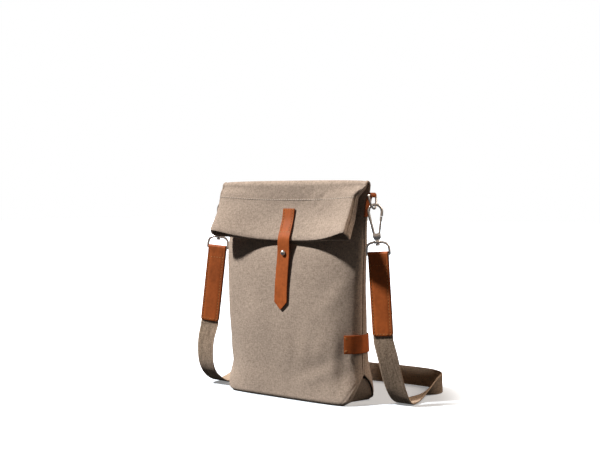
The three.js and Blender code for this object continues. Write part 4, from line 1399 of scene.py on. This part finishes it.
def round_wire_tree():
    """Lays a round wire along the edges of a line."""
    sizes = {"Radius": "NodeSocketFloat", "Sides": "NodeSocketInt", "Material": "NodeSocketMaterial"}
    tree, book, given, names = geometry_tree("round_wire", sizes)
    path = book.node("GeometryNodeMeshToCurve", None, {"Mesh": given["Geometry"]}).outputs["Curve"]
    ring = book.node(
        "GeometryNodeCurvePrimitiveCircle", None, {"Resolution": given["Sides"], "Radius": given["Radius"]},
    )
    wire = book.node(
        "GeometryNodeCurveToMesh", None,
        {"Curve": path, "Profile Curve": ring.outputs["Curve"], "Fill Caps": True},
    )
    end_tree(book, wire.outputs["Mesh"], given["Material"])
    return tree, names


def stitch_tree():
    """Sews a row of stitches along the edges of a line, each lying on the cloth that it faces."""
    sizes = {
        "Pitch": "NodeSocketFloat", "Length": "NodeSocketFloat", "Width": "NodeSocketFloat",
        "Height": "NodeSocketFloat", "Material": "NodeSocketMaterial",
    }
    tree, book, given, names = geometry_tree("stitch_row", sizes)
    path = book.node("GeometryNodeMeshToCurve", None, {"Mesh": given["Geometry"]}).outputs["Curve"]
    stops = book.node(
        "GeometryNodeResampleCurve", {"mode": "LENGTH"}, {"Curve": path, "Length": given["Pitch"]},
    )
    grain = book.node("GeometryNodeMeshUVSphere", None, {"Segments": 8, "Rings": 6, "Radius": 0.5})
    size = book.node(
        "ShaderNodeCombineXYZ", None, {"X": given["Length"], "Y": given["Width"], "Z": given["Height"]},
    )
    shaped = book.node(
        "GeometryNodeTransform", None, {"Geometry": grain.outputs["Mesh"], "Scale": size.outputs["Vector"]},
    )
    tangent = book.node("GeometryNodeInputTangent").outputs["Tangent"]
    facing = book.node(
        "GeometryNodeInputNamedAttribute", {"data_type": "FLOAT_VECTOR"}, {"Name": "facing"},
    ).outputs["Attribute"]
    along = book.node("FunctionNodeAlignRotationToVector", {"axis": "X"}, {"Vector": tangent})
    upright = book.node(
        "FunctionNodeAlignRotationToVector", {"axis": "Z", "pivot_axis": "X"},
        {"Rotation": along.outputs["Rotation"], "Vector": facing},
    )
    sewn = book.node(
        "GeometryNodeInstanceOnPoints", None,
        {"Points": stops.outputs["Curve"], "Instance": shaped.outputs["Geometry"],
         "Rotation": upright.outputs["Rotation"]},
    )
    end_tree(book, sewn.outputs["Instances"], given["Material"])
    return tree, names


def grown(name, points, edges, tree, names, sizes, facing=None):
    """What a geometry tree makes of a line of points, in millimetres, as a plain mesh."""
    mesh = bpy.data.meshes.new(name)
    mesh.from_pydata((np.asarray(points) * MM).tolist(), edges, [])
    give_points(mesh, "facing", "FLOAT_VECTOR", "vector", facing)
    line = add_object(name, mesh)
    modifier = line.modifiers.new(name, "NODES")
    modifier.node_group = tree
    for size, value in sizes.items():
        modifier[names[size]] = value
    made = finished(line)
    bpy.data.objects.remove(line)
    bpy.data.meshes.remove(mesh)
    return made


def chain_edges(count, closed=False):
    edges = [(index, index + 1) for index in range(count - 1)]
    return edges + [(count - 1, 0)] if closed else edges


def wire_mesh(name, points, radius, closed=False):
    tree, names = round_wire_tree()
    metal = bag_settings().metal
    sizes = {"Radius": radius * MM, "Sides": metal.sides, "Material": material_for("metal")}
    return grown(name, points, chain_edges(len(points), closed), tree, names, sizes)


def d_ring_points():
    """The D-ring's wire in its tab's frame, straight bar first."""
    half = D_RING["half_width"]
    across = half * np.linspace(-1, 1, D_RING["bar_steps"], endpoint=False)
    bar = np.stack([0 * across, across, 0 * across], -1)
    angle = np.linspace(0, math.pi, D_RING["bow_steps"], endpoint=False)
    bow = np.stack([0 * angle, half * np.cos(angle), -D_RING["drop"] * np.sin(angle)], -1)
    return np.vstack([bar, bow])


def strap_ring_points():
    """The strap ring's wire in its collar's frame, straight bar first."""
    half, shoulder, bar = STRAP_RING["half_width"], STRAP_RING["shoulder"], STRAP_RING["bar_z"]
    across = np.linspace(1, -1, STRAP_RING["bar_steps"], endpoint=False)
    straight = np.stack([half * across, 0 * across, np.full(len(across), bar)], -1)
    angle = np.linspace(math.pi, 0, STRAP_RING["bow_steps"], endpoint=False)
    x = np.sign(np.cos(angle)) * np.abs(np.cos(angle)) ** (2 / STRAP_RING["square"])
    rise = np.abs(np.sin(angle)) ** (2 / STRAP_RING["square"])
    foot = shoulder - (shoulder - bar) * np.maximum(0, 1 - rise * STRAP_RING["foot"])
    bow = np.stack([half * x, 0 * x, foot * (1 - rise)], -1)
    return np.vstack([straight, bow])


def rounded_profile(radius, low, high, ease=TURNED_EASE, hole=0):
    """Radius and height of a short cylinder with eased edges."""
    rise = [(hole, low), (radius - ease, low), (radius, low + ease)]
    return rise + [(radius, high - ease), (radius - ease, high), (hole, high)]


class BAG_OT_rings(bpy.types.Operator):
    """Makes the D-rings and the strap rings with their swivel collars"""

    bl_idname = "bag.rings"
    bl_label = "Rings"

    def execute(self, context):
        for side in SIDES:
            swing = Matrix.Rotation(-math.radians(side["swing"]), 4, "Y")
            points = placed(d_ring_points(), tab_frame(side) @ swing)
            name = f"{side['name']}_d_wire"
            mesh = wire_mesh(name, points, D_RING["wire"], True)
            add_piece(name, mesh, "metal", node=f"{side['name']}_d_ring")
            matrix = hanging_frame(side["collar"], side["ring"])
            wire = wire_mesh("ring_wire", placed(strap_ring_points(), matrix), STRAP_RING["wire"], True)
            half = STRAP_RING["collar_half"]
            profile = rounded_profile(STRAP_RING["collar"], -half, half)
            collar = lathe("ring_collar", profile, TURNED_SIDES["collar"], matrix)
            name = f"{side['name']}_strap_wire"
            add_piece(name, joined(name, [wire, collar]), "metal", node=f"{side['name']}_strap_ring")
        return {"FINISHED"}


def prism(name, outline, low, high, matrix, ease):
    """A profile drawn in x and z, between two depths along y, with eased edges."""
    count = len(outline)
    points = [(x, low, z) for x, z in outline] + [(x, high, z) for x, z in outline]
    faces = [list(range(count)), list(range(2 * count - 1, count - 1, -1))]
    faces += [[i, (i + 1) % count, count + (i + 1) % count, count + i] for i in range(count)]
    mesh = plain_mesh(name, placed(points, matrix), faces)
    block = add_object(name, mesh)
    bevel = block.modifiers.new("ease", "BEVEL")
    bevel.width = ease * MM
    bevel.segments = 3
    made = finished(block)
    bpy.data.objects.remove(block)
    return made


def hook_wire_points():
    """The hook's wire in its own frame: up the leg, round the arc and down to the nose."""
    points = [HOOK["leg_foot"], HOOK["leg_middle"]]
    bow = arc(HOOK["arc_radius"], 180, 0, HOOK["arc_steps"] + 1, (HOOK["arc_x"], HOOK["arc_height"]))
    points += [tuple(point) for point in bow]
    points.append(HOOK["nose"])
    curve = smooth_path(points, HOOK["curve_steps"])
    return np.stack([curve[:, 0], 0 * curve[:, 0], curve[:, 1]], -1)


class BAG_OT_hooks(bpy.types.Operator):
    """Makes the snap hooks and their sprung gates"""

    bl_idname = "bag.hooks"
    bl_label = "Snap hooks"

    def execute(self, context):
        for side in SIDES:
            matrix = hanging_frame(side["collar"], side["hook"])
            self.make_frame(side["name"], matrix)
            self.make_gate(side["name"], matrix)
        return {"FINISHED"}

    def make_frame(self, side, matrix):
        wire = wire_mesh("hook_wire", placed(hook_wire_points(), matrix), HOOK["wire"])
        half, neck, shoulder = HOOK["base_half"], HOOK["neck_half"], HOOK["shoulder"]
        bottom, top = HOOK["base_bottom"], HOOK["base_top"]
        right = [(-neck, bottom), (neck, bottom), (half, shoulder)]
        left = [(-half, top), (-half, shoulder)]
        slot = [(half, SLOT["floor"]), (SLOT["left"], SLOT["floor"]), (SLOT["left"], top)]
        cheek, web = [*right, (half, top), *left], [*right, *slot, *left]
        deep, thin, lap = HOOK["base_depth"] / 2, SLOT["width"] / 2, SLOT["lap"]
        blocks = [
            prism("cheek", cheek, -deep, -thin, matrix, HOOK["ease"]),
            prism("cheek", cheek, thin, deep, matrix, HOOK["ease"]),
            prism("web", web, -thin - lap, thin + lap, matrix, lap),
        ]
        reach = deep + GATE["pin_stand"]
        profiles = {
            "pin": rounded_profile(GATE["pin"], -reach, reach, GATE["pin_ease"]),
            "stem": rounded_profile(
                HOOK["stem"], HOOK["rivet_top"] - HOOK["stem_lap"], bottom + HOOK["stem_lap"],
            ),
            "rivet": rounded_profile(
                HOOK["rivet"], HOOK["rivet_bottom"], HOOK["rivet_top"], HOOK["rivet_ease"],
            ),
        }
        pivot = Matrix.Translation((GATE["pivot"][0], 0, GATE["pivot"][1]))
        frames = {"pin": matrix @ pivot @ TO_FRONT, "stem": matrix, "rivet": matrix}
        turned = [lathe(part, profiles[part], TURNED_SIDES[part], frames[part]) for part in profiles]
        name = f"{side}_hook_wire"
        mesh = joined(name, [wire, *blocks, *turned])
        add_piece(name, mesh, "metal", node=f"{side}_hook_frame", body=f"{side}_hook")

    def make_gate(self, side, matrix):
        pivot = np.array([GATE["pivot"][0], 0, GATE["pivot"][1]])
        tip = np.array([GATE["tip"][0], 0, GATE["tip"][1]])
        along = unit(tip - pivot)
        start = pivot + along * GATE["rod_start"]
        line = np.linspace(start, tip, GATE["rod_steps"])
        rod = wire_mesh("gate_rod", placed(line, matrix), GATE["rod"])
        lean = math.atan2(along[0], along[2])
        local = matrix @ Matrix.Translation(pivot) @ Matrix.Rotation(lean, 4, "Y")
        half, deep = GATE["rod"], GATE["tang"] / 2
        low, high = GATE["tang_from"], GATE["rod_start"] + GATE["tang_lap"]
        outline = [(-half, low), (half, low), (half, high), (-half, high)]
        tang = prism("tang", outline, -deep, deep, local, GATE["tang_ease"])
        profile = rounded_profile(GATE["eye"], -deep, deep, GATE["eye_ease"], GATE["eye_hole"])
        eye = lathe("eye", profile, TURNED_SIDES["eye"], local @ TO_FRONT)
        name = f"{side}_gate_rod"
        mesh = joined(name, [rod, tang, eye])
        add_piece(name, mesh, "metal", node=f"{side}_hook_gate", body=f"{side}_gate")


# Stitching

def leather_stitch():
    """Sizes of the stitches on leather."""
    pitch = bag_settings().leather.pitch / MM
    return dict(LEATHER_STITCH, pitch=pitch, length=pitch * LEATHER_STITCH["share"])


def sew(name, lines, thread, stitch):
    """Rows of stitches as one piece; a line is a pair of points and the ways that they face."""
    tree, names = stitch_tree()
    sizes = {size.capitalize(): stitch[size] * MM for size in ("pitch", "length", "width", "height")}
    sizes["Material"] = material_for(thread)
    meshes = [
        grown(name, points, chain_edges(len(points)), tree, names, sizes, facing) for points, facing in lines
    ]
    return add_piece(name, joined(name, meshes), thread)


def strip_line(middles, widths, reach, lift):
    """A line along a strip, at a reach across it and a lift above its middle."""
    middles, widths = np.asarray(middles, float), np.asarray(widths, float)
    along = unit(np.gradient(middles, axis=0))
    facing = unit(np.cross(along, widths))
    return middles + widths * reach + facing * lift, facing


class BAG_OT_stitching(bpy.types.Operator):
    """Sews the leather trims and the flap's hem"""

    bl_idname = "bag.stitching"
    bl_label = "Stitching"

    def execute(self, context):
        self.sew_closure()
        self.sew_ends()
        self.sew_label()
        self.sew_hem()
        return {"FINISHED"}

    def sew_closure(self):
        lift = leather_thickness() / 2
        middles, halves = smooth_closure()
        sewn = middles[:, 2] > CLOSURE_SEWN
        middles, inset = middles[sewn][1:], halves[0] - LEATHER_STITCH["inset"]
        widths = np.tile([1.0, 0, 0], (len(middles), 1))
        lines = [strip_line(middles, widths, side * inset, lift) for side in (-1, 1)]
        facing = lines[0][1]
        steps = LEATHER_STITCH["end_steps"]
        for end in (0, -1):
            ends = np.array([lines[0][0][end], lines[1][0][end]])
            lines.append((np.linspace(*ends, steps), np.tile(facing[end], (steps, 1))))
        sew("closure_stitches", lines, "leather_thread", leather_stitch())

    def sew_ends(self):
        path = end_path()
        low, high = STRAP_END["bottom"] + STRAP_END["sewn_from"], STRAP_END["sewn_to"]
        sewn = (path[:, 1] > low) & (path[:, 1] < high)
        inset = STRAP_END["width"] / 2 - LEATHER_STITCH["inset"]
        lift = leather_thickness() / 2
        steps = LEATHER_STITCH["cross_steps"]
        for side in SIDES:
            matrix = hanging_frame(side["collar"], side["ring"])
            across = np.array(matrix)[:3, 0]
            lines = []
            for leaf in (1, -1):
                rows = path[(path[:, 0] * leaf > 0) & sewn]
                middles = placed(np.stack([0 * rows[:, 0], rows[:, 0], rows[:, 1]], -1), matrix)
                facing = np.tile(np.array(matrix)[:3, 1] * leaf, (len(rows), 1))
                skin = middles + facing * lift
                lines += [(skin + across * reach, facing) for reach in (-inset, inset)]
                for end in (0, -1):
                    cross = np.linspace(skin[end] - across * inset, skin[end] + across * inset, steps)
                    lines.append((cross, facing[:steps]))
            sew(f"{side['name']}_end_stitches", lines, "leather_thread", leather_stitch())

    def sew_label(self):
        """Two short slanting stitches at each of the label's front corners."""
        middles, widths, halves = label_stations()
        run = run_along(middles)
        along = unit(np.gradient(middles, run, axis=0))
        facing = unit(np.cross(along, widths))
        facing = facing * np.sign(facing[0, 0] * middles[0, 0] + facing[0, 1] * middles[0, 1])
        lines = []
        for corner in (-1, 1):
            for inset in LABEL_STITCH["insets"]:
                at = int(np.searchsorted(run, inset))
                near = middles[at] + widths[at] * corner * (halves[at] - LABEL_STITCH["corner"])
                near = near + facing[at] * leather_thickness() / 2
                slant = widths[at] * corner - along[at] * LABEL_STITCH["slant"]
                ends = np.array([near, near + LABEL_STITCH["reach"] * slant])
                lines.append((ends, np.tile(facing[at], (2, 1))))
        sew("label_stitches", lines, "leather_thread", LABEL_STITCH)

    def sew_hem(self):
        tube = tube_stations()
        outer, _, across, normals = outward_normals(tube, "back")
        row = int(np.searchsorted(tube["run"], tube["run"][-1] - HEM["height"]))
        keep = np.abs(across[row]) < across[row].max() - HEM_STITCH["margin"]
        points = outer[row][keep] + normals[row][keep] * HEM_STITCH["lift"]
        sew("hem_stitches", [(points, normals[row][keep])], "canvas_thread", HEM_STITCH)


# Stage

class BAG_OT_stage(bpy.types.Operator):
    """Makes the camera, the lights and the floor"""

    bl_idname = "bag.stage"
    bl_label = "Stage"

    def execute(self, context):
        scene = context.scene
        settings = bag_settings().stage
        camera_data = bpy.data.cameras.new("camera")
        camera_data.lens = CAMERA["lens"]
        camera_data.sensor_width = CAMERA["sensor"]
        camera = add_object("camera", camera_data)
        camera.location = CAMERA["place"]
        camera.rotation_euler = (math.radians(CAMERA["tilt"]), 0, math.radians(CAMERA["turn"]))
        scene.camera = camera
        scene.view_settings.view_transform = "Standard"
        self.make_floor(settings)
        self.make_world(scene, settings)
        self.make_lights(settings)
        return {"FINISHED"}

    def make_floor(self, settings):
        reach = FLOOR["reach"]
        points = [(-reach, -reach, 0), (reach, -reach, 0), (reach, reach, 0), (-reach, reach, 0)]
        mesh = plain_mesh("floor", points, [[0, 1, 2, 3]])
        material = bpy.data.materials.new("floor_paper")
        material.use_nodes = True
        book = Book(material.node_tree)
        seen = book.node("ShaderNodeLightPath").outputs["Is Camera Ray"]
        dim = opaque(settings.floor, FLOOR["bounce"])
        bounce = book.node("ShaderNodeBsdfDiffuse", None, {"Color": dim})
        bright = book.node("ShaderNodeBsdfDiffuse", None, {"Color": opaque(settings.floor)})
        place = book.node("ShaderNodeTexCoord").outputs["Object"]
        away = book.field("ShaderNodeVectorMath", "Value", {"operation": "LENGTH"}, {0: place})
        strength = FLOOR["glow"] - FLOOR["shade"] * away.fade(*FLOOR["fade"])
        glow = book.node("ShaderNodeEmission", None, {"Color": WHITE, "Strength": strength})
        paper = book.node("ShaderNodeAddShader", None, {0: bright.outputs[0], 1: glow.outputs[0]})
        mixed = book.node("ShaderNodeMixShader", None, {0: seen, 1: bounce.outputs[0], 2: paper.outputs[0]})
        book.node("ShaderNodeOutputMaterial", None, {"Surface": mixed.outputs[0]})
        mesh.materials.append(material)
        add_object("floor", mesh)

    def make_world(self, scene, settings):
        scene.world = bpy.data.worlds.new("studio")
        scene.world.use_nodes = True
        book = Book(scene.world.node_tree)
        ray = book.node("ShaderNodeLightPath")
        seen = Field(book, ray.outputs["Is Camera Ray"])
        mirrored = Field(book, ray.outputs["Is Glossy Ray"])
        strength = seen * (1.0 - settings.fill) + mirrored * settings.shine + settings.fill
        colour = book.mixed(seen, FILL_COLOUR, WHITE)
        sky = book.node("ShaderNodeBackground", None, {"Color": colour, "Strength": strength})
        book.node("ShaderNodeOutputWorld", None, {"Surface": sky.outputs[0]})

    def make_lights(self, settings):
        key_data = bpy.data.lights.new("key", "SUN")
        key_data.energy = settings.key
        key_data.angle = settings.key_size
        key = add_object("key", key_data)
        key.rotation_euler = Vector(KEY_WAY).to_track_quat("Z", "Y").to_euler()
        side_data = bpy.data.lights.new("side", "AREA")
        side_data.energy = settings.side
        side_data.size = SIDE_LIGHT["size"]
        side_data.color = SIDE_LIGHT["colour"]
        side = add_object("side", side_data)
        side.location = SIDE_LIGHT["place"]
        way = side.location - Vector(SIDE_LIGHT["aim"])
        side.rotation_euler = way.to_track_quat("Z", "Y").to_euler()


class BAG_PT_panel(bpy.types.Panel):
    """Lists the bag's settings and the buttons that make its pieces"""

    bl_idname = "BAG_PT_panel"
    bl_label = "Crossbody bag"
    bl_space_type = "VIEW_3D"
    bl_region_type = "UI"
    bl_category = "Bag"

    def draw(self, context):
        for group in ("canvas", "leather", "webbing", "metal", "stage"):
            box = self.layout.box()
            settings = getattr(context.scene.bag, group)
            box.label(text=group.capitalize())
            for name in type(settings).__annotations__:
                box.prop(settings, name)
        for maker in MAKERS:
            self.layout.operator(maker.bl_idname)


SETTINGS = (CanvasSettings, LeatherSettings, WebbingSettings, MetalSettings, StageSettings, BagSettings)
MAKERS = (
    BAG_OT_stage, BAG_OT_webbing, BAG_OT_canvas, BAG_OT_gusset, BAG_OT_closure, BAG_OT_label, BAG_OT_tabs,
    BAG_OT_strap_ends, BAG_OT_rings, BAG_OT_hooks, BAG_OT_stitching,
)


def register():
    for part in (*SETTINGS, *MAKERS, BAG_PT_panel):
        bpy.utils.register_class(part)
    bpy.types.Scene.bag = PointerProperty(type=BagSettings)


def unregister():
    del bpy.types.Scene.bag
    for part in (BAG_PT_panel, *reversed(MAKERS), *reversed(SETTINGS)):
        bpy.utils.unregister_class(part)


def main():
    register()
    for maker in MAKERS:
        group, name = maker.bl_idname.split(".")
        getattr(getattr(bpy.ops, group), name)()


if __name__ == "__main__":
    main()
